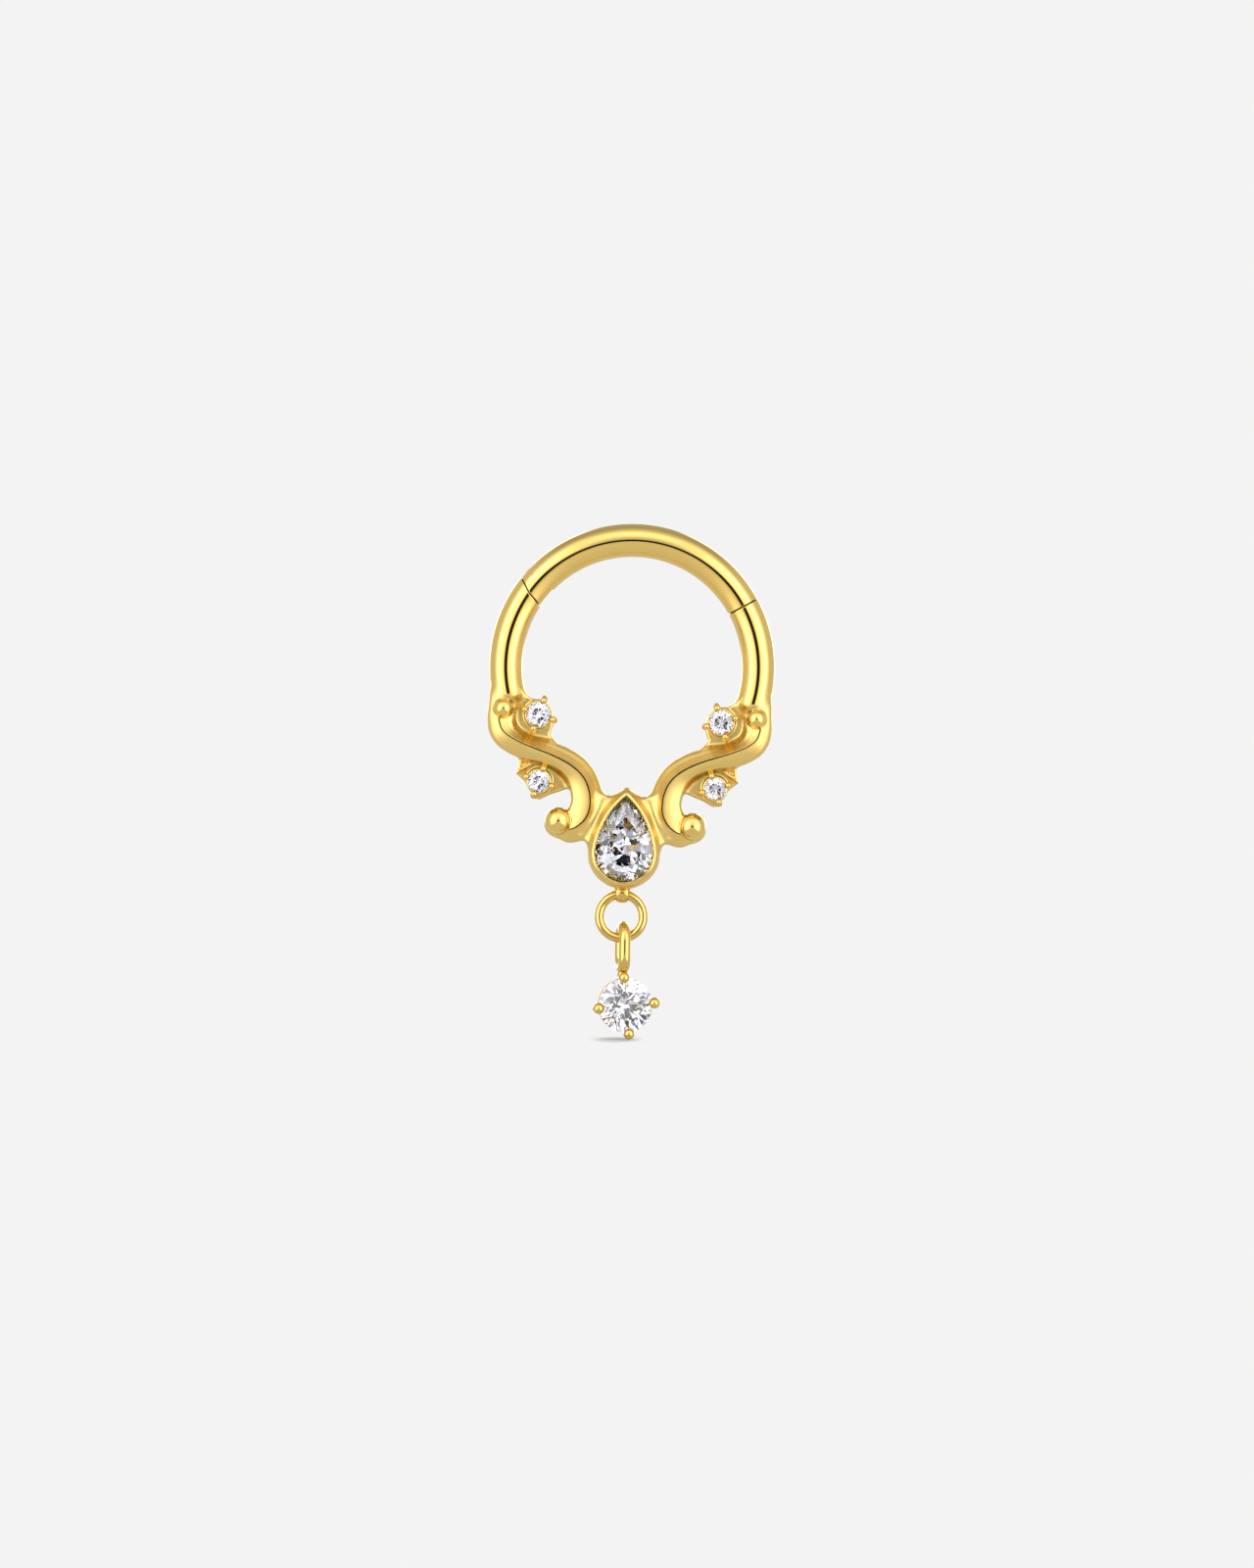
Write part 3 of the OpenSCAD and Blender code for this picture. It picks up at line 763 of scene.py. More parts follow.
# Depth to which the ends of the wires are painted dark as the seams' shade, what lies past their rounded
# rims, and how nearly a face in the fork looks along the wire to count as its end
JOINT_EDGE = 0.09
PAST_RIM = 0.004
ALONG_WIRE = 0.8
# How near to the wire's surface a point counts as on it
ON_WIRE = 0.002
# Fork's slot, from the pin: down to its bottom and back past the wire's end
SLOT_BOTTOM = -0.85
SLOT_BACK = -1
# Middle of the clasp's seam, and the way along the wire there
CLASP_MIDDLE = MID_R * np.array([math.sin(CLASP_SEAM), 0, math.cos(CLASP_SEAM)])
CLASP_ALONG = np.array([math.cos(CLASP_SEAM), 0, -math.sin(CLASP_SEAM)])


def wire_rings(start, end, count, shoulders=(False, False)):
    """Rings of a stretch of the ring's wire between two ends, which give an angle
    from the top for each distance out from the wire's middle. Both rims are rounded,
    and an end may have a shoulder."""
    circle = arc(0, FULL_TURN, AROUND).T
    turn = np.linspace(0, math.pi / 2, 4)
    rim = [(RIM * (1 - math.sin(a)), WIRE_R - RIM * (1 - math.cos(a))) for a in turn]
    shoulder = [(0, SHOULDER_R), (-SHOULDER_L, SHOULDER_R - SHOULDER_L / 4)]
    head, tail = (rim + shoulder * wanted for wanted in shoulders)
    stations = [(0, inset, r) for inset, r in head[::-1]]
    stations += [(share, 0, WIRE_R) for share in np.linspace(0, 1, count)[1:-1]]
    stations += [(1, -inset, r) for inset, r in tail]
    rings = []
    for share, inset, radius in stations:
        out, t = radius * circle
        reach = MID_R + out
        turned = (1 - share) * start(out) + share * end(out) + inset / reach
        rings.append(np.stack([reach * np.sin(turned), t, reach * np.cos(turned)], 1))
    return rings


def seam(turn, side, offsets=(0, 0, 0)):
    """End of a wire at a seam: half the gap to one side of it, along a bent line."""
    def end(out):
        along = np.interp(out, SEAM_OUT, offsets) + side * SEAM_GAP / 2
        return turn + np.arcsin(along / (MID_R + out))
    return end


def from_hinge(points):
    """Points in [along, t, out] at the hinge seam, in [x, t, z]."""
    points = np.asarray(points, float)
    c, s = math.cos(HINGE_SEAM), math.sin(HINGE_SEAM)
    out = points[:, 2] + MID_R
    return np.stack([points[:, 0] * c + out * s, points[:, 1], out * c - points[:, 0] * s], 1)


def about_pin(outline, thickness):
    """The two faces of an outline in [along, out] from the pin, front one first."""
    outline = np.array(outline, float) + [PIN_ALONG, PIN_OUT]
    faces = []
    for t in (thickness / 2, -thickness / 2):
        faces.append(from_hinge(np.stack([outline[:, 0], np.full(len(outline), t), outline[:, 1]], 1)))
    return faces


def fixed_wires():
    """Both fixed wires, from their seams down into the casting, with the hinge's
    tongue on the left one and the clasp's nib on the right one."""
    shell = Shell()
    hinge_end = seam(HINGE_SEAM, -1, SEAM_ALONG)
    shell.tube(wire_rings(lambda out: -WIRE_END, hinge_end, FIXED_RINGS, (False, True)))
    shell.tube(wire_rings(seam(CLASP_SEAM, 1), lambda out: WIRE_END, FIXED_RINGS, (True, False)))
    count = len(shell.faces)
    circle = arc(-math.pi, math.pi, 64)
    outer = []
    for along, out in circle:
        bar = min(1 / max(-along, 1e-9), TONGUE_BAR / max(abs(out), 1e-9))
        reach = max(TONGUE_R, bar) if along < 0 else TONGUE_R
        outer.append((reach * along, reach * out))
    front, back = about_pin(outer, TONGUE_T)
    bore_front, bore_back = about_pin((PIN_R + PIN_CLEARANCE) * circle, TONGUE_T)
    first = shell.sheet([bore_front, front, back, bore_back], wrap=True)
    n = len(front)
    for k in range(n):
        after = (k + 1) % n
        shell.face((first + 3 * n + k, first + 3 * n + after, first + after, first + k))
    disc = NIB_R * arc(0, FULL_TURN, 32) @ np.array([CLASP_MIDDLE / MID_R, [0, 1, 0]])
    rings = []
    for a in np.linspace(0.01, math.pi - 0.01, 24):
        place = CLASP_MIDDLE + CLASP_ALONG * (NIB_R - NIB_H - NIB_R * math.cos(a))
        rings.append(place + math.sin(a) * disc)
    shell.tube(rings)
    mesh = shell.mesh("fixed_wires")
    darken_joints(mesh, count)
    return mesh


def darken_joints(mesh, count, fork=False):
    """Gives the second finish, the seams' painted shade, to those of the first faces that lie just below
    the wire's surface, and the third, the slot's painted shade, to those of the fork that don't face along
    the wire."""
    for face in mesh.polygons[:count]:
        x, y, z = face.center
        depth = WIRE_R - math.hypot(math.hypot(x, z + MID_R) - MID_R, y)
        turn = math.atan2(x, z + MID_R)
        facing = abs(face.normal.x * math.cos(turn) - face.normal.z * math.sin(turn))
        if depth > RIM + PAST_RIM:
            face.material_index = 2 if fork and facing < ALONG_WIRE else int(depth < JOINT_EDGE)


def carved(mesh, cutters):
    """A mesh with the space of each cutter taken out."""
    body = in_scene("body", mesh)
    tools = [in_scene("cutter", cutter) for cutter in cutters]
    for tool in tools:
        carve = body.modifiers.new("carve", "BOOLEAN")
        carve.operation = "DIFFERENCE"
        carve.solver = "EXACT"
        carve.object = tool
    evaluated = body.evaluated_get(bpy.context.evaluated_depsgraph_get())
    made = bpy.data.meshes.new_from_object(evaluated)
    for used in [body] + tools:
        bpy.data.objects.remove(used)
    return made


def wire_normals(mesh):
    """Gives every face on the ring wire's surface the wire's true normals."""
    points = np.array([v.co for v in mesh.vertices])
    x, y, z = points[:, 0], points[:, 1], points[:, 2] + MID_R
    reach = np.hypot(x, z)
    share = 1 - MID_R / reach
    true = np.stack([x * share, y, z * share], 1)
    length = np.linalg.norm(true, axis=1)
    on_wire = np.abs(length - WIRE_R) < ON_WIRE
    true = true / length[:, None]
    normals = []
    for face in mesh.polygons:
        whole = all(on_wire[i] for i in face.vertices)
        for i in face.vertices:
            normals.append(true[i] if whole else face.normal)
    mesh.shade_smooth()
    mesh.normals_split_custom_set([tuple(n) for n in normals])


def hinged_segment():
    """Top of the ring with the hinge's fork and the clasp's dimple."""
    whole = Shell()
    whole.tube(wire_rings(seam(HINGE_SEAM, 1, SEAM_ALONG), seam(CLASP_SEAM, -1), SEGMENT_RINGS))
    outline = [(SLOT_BACK, SLOT_BOTTOM), (0, SLOT_BOTTOM), *(FORK_R * arc(-math.pi / 2, 0, 16))]
    outline += [(FORK_R, 0), (FORK_R, WIRE_R), (SLOT_BACK, WIRE_R)]
    slot = Shell()
    slot.sheet(about_pin(outline, FORK_T), wrap=True)
    n = len(outline)
    slot.face(range(n))
    slot.face(range(n, 2 * n))
    dimple = ready_shape(bmesh.ops.create_uvsphere, u_segments=32, v_segments=20,
                         radius=NIB_R + SEAM_GAP)
    dimple.transform(Matrix.Translation(to_frame([CLASP_MIDDLE + (NIB_R - NIB_H) * CLASP_ALONG])[0]))
    mesh = carved(whole.mesh("hinged_segment"), [slot.mesh("slot"), dimple])
    wire_normals(mesh)
    darken_joints(mesh, len(mesh.polygons), True)
    return mesh


def hinge_pin():
    """Pin through the fork and the tongue, just short of the wire's surface."""
    shell = Shell()
    length = 2 * math.sqrt(WIRE_R ** 2 - (PIN_OUT + PIN_R) ** 2) - PIN_SHORT
    shell.tube(about_pin(PIN_R * arc(0, FULL_TURN, 32), length))
    return shell.mesh("hinge_pin")


# Trees for wire loops and prongs

def new_tree(name, labels):
    """Geometry tree with an input for each named size and one for its material."""
    tree = bpy.data.node_groups.new(name, "GeometryNodeTree")
    for label in labels + ["Material"]:
        kind = {"Count": "Int", "Material": "Material"}.get(label, "Float")
        tree.interface.new_socket(label, in_out="INPUT", socket_type="NodeSocket" + kind)
    tree.interface.new_socket("Geometry", in_out="OUTPUT", socket_type="NodeSocketGeometry")
    return tree, add(tree, "NodeGroupInput").outputs


def end_tree(tree, geometry, material):
    """Ends a tree with plain realized geometry in its material."""
    smooth = add(tree, "GeometryNodeSetShadeSmooth", {"Geometry": geometry})
    plain = add(tree, "GeometryNodeRealizeInstances", {"Geometry": smooth})
    dressed = add(tree, "GeometryNodeSetMaterial", {"Geometry": plain, "Material": material})
    add(tree, "NodeGroupOutput", {0: dressed})


def loop_tree():
    """Wire bent into a closed loop with round corners, with a round or oval section."""
    tree, given = new_tree("wire_loop", ["Width", "Height", "Corner", "Wire", "Section Depth"])
    sides = add(tree, "GeometryNodeCurvePrimitiveQuadrilateral", {
        "Width": given["Width"], "Height": given["Height"],
    })
    path = add(tree, "GeometryNodeFilletCurve", {
        "Curve": sides, "Count": 22, "Radius": given["Corner"],
    }, mode="POLY")
    circle = add(tree, "GeometryNodeCurvePrimitiveCircle", {"Resolution": 32, "Radius": given["Wire"]})
    stretch = add(tree, "ShaderNodeCombineXYZ", {"X": 1.0, "Y": given["Section Depth"], "Z": 1.0})
    section = add(tree, "GeometryNodeTransform", {"Geometry": circle, "Scale": stretch})
    wire = add(tree, "GeometryNodeCurveToMesh", {"Curve": path, "Profile Curve": section})
    end_tree(tree, wire, given["Material"])
    return tree


def prong_tree():
    """Ring of equal claws: each is a bent post that thins from its foot to its tip,
    with a polished bead on the stone's edge and a swelling outside it."""
    tree, given = new_tree("prong_set", [
        "Count", "Foot Place", "Elbow Place", "Bead Place", "Foot Height", "Bead Height",
        "Swelling Height", "Post", "Bead", "Swelling",
    ])
    foot, elbow, bead, swelling = (
        add(tree, "ShaderNodeCombineXYZ", {"X": given[out], "Z": up}) for out, up in (
            ("Foot Place", given["Foot Height"]), ("Elbow Place", 0.0),
            ("Bead Place", given["Bead Height"]), ("Elbow Place", given["Swelling Height"]),
        )
    )
    bend = add(tree, "GeometryNodeCurvePrimitiveBezierSegment", {
        "Resolution": 14, "Start": foot, "Start Handle": elbow, "End Handle": elbow, "End": bead,
    })
    circle = add(tree, "GeometryNodeCurvePrimitiveCircle", {"Resolution": 20, "Radius": given["Post"]})
    along = add(tree, "GeometryNodeSplineParameter")
    taper = add(tree, "ShaderNodeMapRange", {
        "Value": along.outputs["Factor"], "To Min": 1.15, "To Max": 0.8,
    })
    post = add(tree, "GeometryNodeCurveToMesh", {
        "Curve": bend, "Profile Curve": circle, "Scale": taper,
        "Fill Caps": True,
    })
    parts = [post]
    for size, place, segments, rings in (("Bead", bead, 28, 18), ("Swelling", swelling, 24, 16)):
        sphere = add(tree, "GeometryNodeMeshUVSphere", {
            "Segments": segments, "Rings": rings, "Radius": given[size],
        })
        parts.append(add(tree, "GeometryNodeTransform", {"Geometry": sphere, "Translation": place}))
    claw = add(tree, "GeometryNodeJoinGeometry")
    for part in parts:
        tree.links.new(part.outputs[0], claw.inputs[0])
    spots = add(tree, "GeometryNodePoints", {"Count": given["Count"]})
    index = add(tree, "GeometryNodeInputIndex")
    share = add(tree, "ShaderNodeMath", {0: index, 1: given["Count"]}, operation="DIVIDE")
    turn = add(tree, "ShaderNodeMath", {0: share, 1: 2 * math.pi}, operation="MULTIPLY")
    spin = add(tree, "ShaderNodeCombineXYZ", {"Z": turn})
    placed = add(tree, "GeometryNodeInstanceOnPoints", {
        "Points": spots, "Instance": claw, "Rotation": spin,
    })
    end_tree(tree, placed, given["Material"])
    return tree


def grown(tree, sizes, place):
    """Polished mesh that a tree makes from its sizes, given in order, moved to its
    place in millimetres in the frame's axes."""
    holder = in_scene("holder", bpy.data.meshes.new("holder"))
    growth = holder.modifiers.new("growth", "NODES")
    growth.node_group = tree
    sockets = [s for s in tree.interface.items_tree if s.in_out == "INPUT"]
    for socket, size in zip(sockets, [*sizes, POLISHED]):
        growth[socket.identifier] = size
    made = bpy.data.meshes.new_from_object(holder.evaluated_get(bpy.context.evaluated_depsgraph_get()))
    bpy.data.objects.remove(holder)
    made.transform(place)
    return made


def loop(width, height, wire, place, flat=1.0):
    """Loop of wire with round ends as wide as itself; flat widens its section."""
    return grown(LOOP, [width, height, CORNER_SHARE * width, wire, flat], place)


def claws(d, outs, ups, radii, place):
    """Four claws about a stone: how far out from its edge their feet, elbows and beads
    are, how high over its girdle their feet, beads and swellings are, and the radii of
    their posts, beads and swellings."""
    return grown(PRONGS, [4, *(d / 2 + out for out in outs), *ups, *radii], place)


def together(name, meshes):
    """One mesh of several that share their materials' order."""
    work = bmesh.new()
    for mesh in meshes:
        work.from_mesh(mesh)
    made = bpy.data.meshes.new(name)
    work.to_mesh(made)
    work.free()
    for face in made.polygons:
        face.material_index = 0
    return made


def at(x, y, z):
    """Place in the frame's axes of a point given from the ring's middle."""
    return Matrix.Translation((x, y, z - MID_R))


# Sizes of the claws, as claws() takes them
SMALL_CLAWS = (0.12, 0.15, 0.09), (-0.55, 0.06, -0.12), (0.09, 0.115, 0.125)
DROP_CLAWS = (-0.45, 0.10, 0.03), (-0.88, 0.20, -0.02), (0.13, 0.205, 0.125)
# Corner of a round loop as a share of its width, which has to stay under a half
CORNER_SHARE = 0.499
# Hoops of the drop's basket: middle radius, depth behind the ring's plane and wire
HOOPS = ((0.55, 0.70, 0.16), (0.87, 0.25, 0.10))
KNOB_R = 0.20

# Turns of a piece drawn lying flat: to face the front, or to stand across the ring
FACING = Matrix.Rotation(math.pi / 2, 4, "X")
ACROSS = Matrix(((0, 0, 1, 0), (1, 0, 0, 0), (0, 1, 0, 0), (0, 0, 0, 1)))
BAIL = at(DROP_PIVOT[0], 0, DROP_PIVOT[1]) @ Matrix.Rotation(-BAIL_LEAN, 4, "Y")
BAIL = BAIL @ Matrix.Rotation(DROP_YAW, 4, "Z")
DROP = BAIL @ Matrix.Translation((0, 0, BAIL_WIRE - BAIL_HEIGHT))
DROP = DROP @ Matrix.Rotation(BAIL_LEAN - DROP_LEAN, 4, "Y")


# Stones

# Shares of the way out to the girdle: tables, star corners and lower corners; and how
# much out of place the cutting leaves the lower corners
ROUND_TABLE = 0.56
PEAR_TABLE_SHARE = 0.60
STAR_SHARE = 0.80
LOWER_SHARE = 0.24
ROUND_UNEVEN = 0.02
PEAR_UNEVEN = 0.06
# Share of each main's place along a long stone at which it meets the keel
KEEL_SHARE = 0.6
# How the lower corners wander in x, y and height from one to the next, and where each
# starts, in radians
WANDER_TURNS = [2.4, 4.1, 1.7]
WANDER_STARTS = [0.5, 1.9, 3.2]


def brilliant(edge, table, crown, girdle, pavilion, uneven, middle=(0, 0), keel=0.0):
    """Brilliant cut with its table up and its girdle's top at height 0; edge gives
    the girdle's corners, a main facet's and one between two mains in turn. A long
    stone ends below in a keel of a half length, and a hand cut one has its lower
    corners a little out of place."""
    n = len(edge) // 2
    centre = np.array(middle, float)
    flat = math.cos(math.pi / n)
    star_height = crown * (1 - (STAR_SHARE * flat - table) / (1 - table))
    lower_height = -girdle - pavilion * (1 - LOWER_SHARE * flat)
    along = np.clip((edge[0::2, 1] - centre[1]) * KEEL_SHARE, -keel, keel)
    bottom = np.stack([np.full(n, centre[0]), centre[1] + along, np.full(n, -girdle - pavilion)], 1)

    def level(picked, share, height):
        spread = centre + (picked - centre) * share
        return np.hstack([spread, np.full((len(spread), 1), height)])

    breaks_at = level(edge[1::2], LOWER_SHARE, lower_height)
    breaks_at[:, 1] += (1 - LOWER_SHARE) * (along + np.roll(along, -1)) / 2
    wander = np.arange(n)[:, None] * WANDER_TURNS + WANDER_STARTS
    breaks_at += uneven * np.sin(wander)
    bottom[:, 0] += uneven * np.sin(4 * along + 1)
    rings = [
        level(edge[0::2], table, crown), level(edge[1::2], STAR_SHARE, star_height),
        level(edge, 1, 0), level(edge, 1, -girdle), breaks_at, bottom,
    ]
    starts = np.cumsum([0] + [len(r) for r in rings])
    tables, stars, upper, lower, breaks, culets = starts[:6]
    faces = [tuple(tables + i for i in range(n))]
    for i in range(n):
        main, half, after = 2 * i, 2 * i + 1, (i + 1) % n
        faces += [
            (tables + i, stars + i, tables + after),
            (tables + i, stars + (i - 1) % n, upper + main, stars + i),
            (stars + i, upper + main, upper + half),
            (stars + i, upper + half, upper + 2 * after),
            (breaks + i, lower + half, lower + main),
            (breaks + i, lower + 2 * after, lower + half),
            (culets + i, breaks + i, lower + main),
            (culets + i, lower + main, breaks + (i - 1) % n),
            (culets + i, culets + after, breaks + i),
        ]
    for k in range(2 * n):
        after = (k + 1) % (2 * n)
        faces.append((upper + k, lower + k, lower + after, upper + after))
    made = bpy.data.meshes.new("stone")
    made.from_pydata(np.vstack(rings).tolist(), [], faces)
    face_out(made)
    return made


def round_stone(d, place):
    """Round brilliant of eight mains, moved to its place."""
    edge = d / 2 * arc(0, FULL_TURN, 16)
    stone = brilliant(edge, ROUND_TABLE, CROWN * d, GIRDLE * d, PAVILION * d, ROUND_UNEVEN)
    stone.transform(place)
    return stone


def pear_edge():
    """Corners of the pear's girdle, met by rays from the stone's middle: twelve mains."""
    outline = pear_outline(60) - PEAR_MIDDLE
    angles = np.unwrap(np.arctan2(outline[:, 1], outline[:, 0]))
    turns = math.pi / 2 + np.arange(24) * math.pi / 12
    wrapped = (turns - angles[0]) % (2 * math.pi) + angles[0]
    closed = np.append(angles, angles[0] + 2 * math.pi)
    corners = np.vstack([outline, outline[:1]])
    return np.stack([np.interp(wrapped, closed, corners[:, k]) for k in (0, 1)], 1) + PEAR_MIDDLE


# Materials

# Plate on the ring's wires and on the satin, and the satin's colour darkened as painted shade in its
# recesses
GOLD = "#E9C874"
SATIN_GOLD = "#E6C576"
RECESS_SHADE_GOLD = "#BEAC6C"


def new_material(name):
    material = bpy.data.materials.new(name)
    material.use_nodes = True
    return material, material.node_tree, material.node_tree.nodes["Principled BSDF"]


def gold_plate(name, roughness, haze, colour=GOLD, grain=0):
    """Yellow gold plate over brass: a warm metal whose finish varies a little in
    patches of half a millimetre, with grain as the height of its fine texture."""
    material, tree, bsdf = new_material(name)
    place = add(tree, "ShaderNodeTexCoord").outputs["Object"]
    patches = add(tree, "ShaderNodeTexNoise", {"Vector": place, "Scale": 1 / (0.5 * MM), "Detail": 3.0})
    finish = add(tree, "ShaderNodeMapRange", {
        "Value": patches.outputs["Fac"], "From Min": 0.3, "From Max": 0.7,
        "To Min": roughness - haze, "To Max": roughness + haze,
    })
    feed(bsdf, {"Base Color": linear(colour), "Metallic": 1, "Roughness": finish})
    if grain:
        specks = add(tree, "ShaderNodeTexNoise", {"Vector": place, "Scale": 1 / (0.05 * MM), "Detail": 2.0})
        bump = add(tree, "ShaderNodeBump", {
            "Height": specks.outputs["Fac"], "Strength": 1.0, "Distance": grain * MM,
        })
        feed(bsdf, {"Normal": bump})
    return material, tree, bsdf, finish, place


def satin_gold():
    """Fine satin on the cast scrolls, polished where the piece's own attribute says, with shade painted
    into its colour: darker and browner in the recesses, by the recess attribute."""
    material, tree, bsdf, finish, _ = gold_plate("satin_gold_plate", 0.33, 0.03, grain=0.0008)
    shine = add(tree, "ShaderNodeAttribute", attribute_name="polish")
    mix = add(tree, "ShaderNodeMix", {0: shine.outputs["Fac"], 2: finish, 3: 0.07})
    # Painted shade: the colour turns darker and browner by the recess attribute
    recess_shade = add(tree, "ShaderNodeAttribute", attribute_name="recess")
    painted_shade = add(tree, "ShaderNodeMapRange", {
        "Value": recess_shade.outputs["Fac"], "From Min": 0.10, "From Max": 0.60,
    })
    plain = add(tree, "ShaderNodeMix", {
        0: shine.outputs["Fac"], 6: linear(SATIN_GOLD), 7: linear(GOLD),
    }, data_type="RGBA")
    colour = add(tree, "ShaderNodeMix", {
        0: painted_shade, 6: plain.outputs[2], 7: linear(RECESS_SHADE_GOLD),
    }, data_type="RGBA")
    feed(bsdf, {"Roughness": mix, "Base Color": colour.outputs[2]})
    return material


def segment_gold():
    """Polished outside and satin on the inner half that runs through the piercing."""
    material, tree, bsdf, finish, place = gold_plate("segment_gold_plate", 0.06, 0.015)
    centred = add(tree, "ShaderNodeVectorMath", {0: place, 1: (0, 0, MID_R * MM)}, operation="ADD")
    flat = add(tree, "ShaderNodeVectorMath", {0: centred, 1: (1, 0, 1)}, operation="MULTIPLY")
    reach = add(tree, "ShaderNodeVectorMath", {0: flat}, operation="LENGTH")
    inner = add(tree, "ShaderNodeMapRange", {
        "Value": reach.outputs["Value"], "From Min": (MID_R - 0.05) * MM, "From Max": (MID_R - 0.10) * MM,
    })
    mix = add(tree, "ShaderNodeMix", {0: inner, 2: finish, 3: 0.30})
    feed(bsdf, {"Roughness": mix})
    return material


def zirconia():
    """Clear cubic zirconia, cut with flat polished facets: strong sparkle from its high index, and patches
    of faint blue and rose painted into its colour for the fire of its dispersion."""
    material, tree, bsdf = new_material("cubic_zirconia")
    place = add(tree, "ShaderNodeTexCoord").outputs["Object"]
    fire = add(tree, "ShaderNodeTexVoronoi", {"Vector": place, "Scale": 1 / (0.3 * MM)})
    share = add(tree, "ShaderNodeSeparateColor", {0: fire.outputs["Color"]})
    tint = add(tree, "ShaderNodeMix", {
        0: share, 6: linear("#C6D2E6"), 7: linear("#E0D4D2"),
    }, data_type="RGBA")
    feed(bsdf, {
        "Roughness": 0.0, "IOR": 2.16, "Transmission Weight": 1.0, "Base Color": tint.outputs[2],
    })
    return material


# High polish on the links, claws and beads, where the plate is a little darker
POLISHED = gold_plate("polished_gold_plate", 0.07, 0.015, "#DCBA6A")[0]
# High polish on the ring's fixed wires: a clear mirror with a trace of haze
WIRE = gold_plate("wire_gold_plate", 0.06, 0.015)[0]
# Dark reflection painted on the flat line along each ridge
PAINTED_RIDGE_LINE = gold_plate("ridge_line_painted_reflection", 0.45, 0.05, "#2C220E")[0]
# Rougher plate in the fork's slot, its colour darkened as painted shade of the narrow slot
PAINTED_SLOT_SHADE = gold_plate("unpolished_slot_painted_shade", 0.42, 0.05, "#8A6E36")[0]
# Rough near-black faces inside the joints: painted shade of the seams
SEAM_SHADE = gold_plate("joint_seam_painted_shade", 0.55, 0.05, "#2E2410")[0]
SATIN = satin_gold()
SEGMENT = segment_gold()
STONE = zirconia()


# Pieces

LOOP = loop_tree()
PRONGS = prong_tree()


def make_frame():
    """Everything soldered to the fixed wires, and the stones set in it."""
    set_piece("cast_front", cast_front(), "frame", ["ring_frame"], [SATIN])
    set_piece("scroll_faces", scroll_faces(), "frame", ["ring_frame"], [SATIN, PAINTED_RIDGE_LINE])
    set_piece("fixed_wires", fixed_wires(), "frame", ["ring_frame"], [WIRE, SEAM_SHADE])
    width = 2 * EYELET_HOLE + EYELET_WALL
    flat = 2 * EYELET_HALF_WIDTH / EYELET_WALL
    eyelet = loop(width, width, EYELET_WALL / 2, at(0, 0, EYELET_Z) @ ACROSS, flat)
    set_piece("eyelet", eyelet, "frame", ["ring_frame"], [])
    for row, (x, z, d) in (("upper", UPPER_STONE), ("lower", LOWER_STONE)):
        for side, sign in (("left", -1), ("right", 1)):
            turn = Matrix.Rotation(sign * SEAT_TURN, 4, "Z")
            place = at(sign * x, CROWN * d - SMALL_TABLE, z) @ FACING @ turn
            name = "round_stone_" + row + "_" + side
            set_piece(name + "_cut", round_stone(d, place), "frame", [name], [STONE])
            prongs = together("prongs", [claws(d, *SMALL_CLAWS, place)])
            set_piece("prongs_" + row + "_" + side, prongs, "frame", ["ring_frame"], [POLISHED])
    pear = brilliant(pear_edge(), PEAR_TABLE_SHARE, PEAR_CROWN, PEAR_GIRDLE, PEAR_PAVILION,
                     PEAR_UNEVEN, PEAR_MIDDLE, PEAR_KEEL)
    pear.transform(at(0, PEAR_CROWN - PEAR_TABLE, PEAR_MID) @ FACING)
    set_piece("pear_stone_cut", pear, "frame", ["pear_stone"], [STONE])


def make_segment():
    set_piece("segment_wire", hinged_segment(), "segment", ["hinged_segment"], [SEGMENT, SEAM_SHADE, PAINTED_SLOT_SHADE])
    set_piece("segment_pin", hinge_pin(), "segment", ["hinge_pin"], [POLISHED])


def make_link():
    link = loop(2 * LINK_MID, 2 * LINK_MID, LINK_WIRE, at(0, 0, LINK_Z) @ FACING)
    set_piece("round_link", link, "link", ["jump_ring"], [])


def make_drop():
    """Bail, basket, claws and stone of the drop."""
    depth = BAIL_DEPTH - 2 * BAIL_WIRE
    height = BAIL_HEIGHT - 2 * BAIL_WIRE
    bail = loop(depth, height, BAIL_WIRE, BAIL @ Matrix.Translation((0, 0, -height / 2)) @ ACROSS)
    set_piece("drop_bail", bail, "drop", ["drop_setting"], [])
    girdle_t = DROP_TABLE - CROWN * DROP_STONE
    stone_place = DROP @ Matrix.Translation((0, -girdle_t, -DROP_CENTRE)) @ FACING
    basket = []
    for middle, behind, wire in HOOPS:
        place = DROP @ Matrix.Translation((0, behind, -DROP_CENTRE)) @ FACING
        basket.append(loop(2 * middle, 2 * middle, wire, place))
    basket.append(claws(DROP_STONE, *DROP_CLAWS, stone_place))
    set_piece("drop_basket", together("drop_basket", basket), "drop", ["drop_setting"], [POLISHED])
    knob = ready_shape(bmesh.ops.create_uvsphere, u_segments=40, v_segments=28, radius=KNOB_R)
    knob.shade_smooth()
    knob.transform(DROP @ Matrix.Translation((0, -girdle_t / 2, KNOB_UP - DROP_CENTRE)))
    set_piece("drop_knob", knob, "drop", ["drop_setting"], [POLISHED])
    stone = round_stone(DROP_STONE, stone_place)
    set_piece("drop_stone_cut", stone, "drop", ["drop_stone"], [STONE])


make_frame()
make_segment()
make_link()
make_drop()


# Studio

BACKDROP = "#F4F3F3"


def softbox(tree, light, measures, spans, level):
    """Lays a soft-edged box of one level over a light. Each span names a measure and
    gives the degrees at which the box starts to rise, is full, starts to fall and ends."""
    mask = 1.0
    for measure, *marks in spans:
        for low, high in (marks[0:2], marks[3:1:-1]):
            edge = add(tree, "ShaderNodeMapRange", {
                "Value": measures[measure], "From Min": low, "From Max": high,
            }, interpolation_type="SMOOTHSTEP")
            mask = add(tree, "ShaderNodeMath", {0: edge, 1: mask}, operation="MULTIPLY")
    return add(tree, "ShaderNodeMix", {0: mask, 2: light, 3: level})


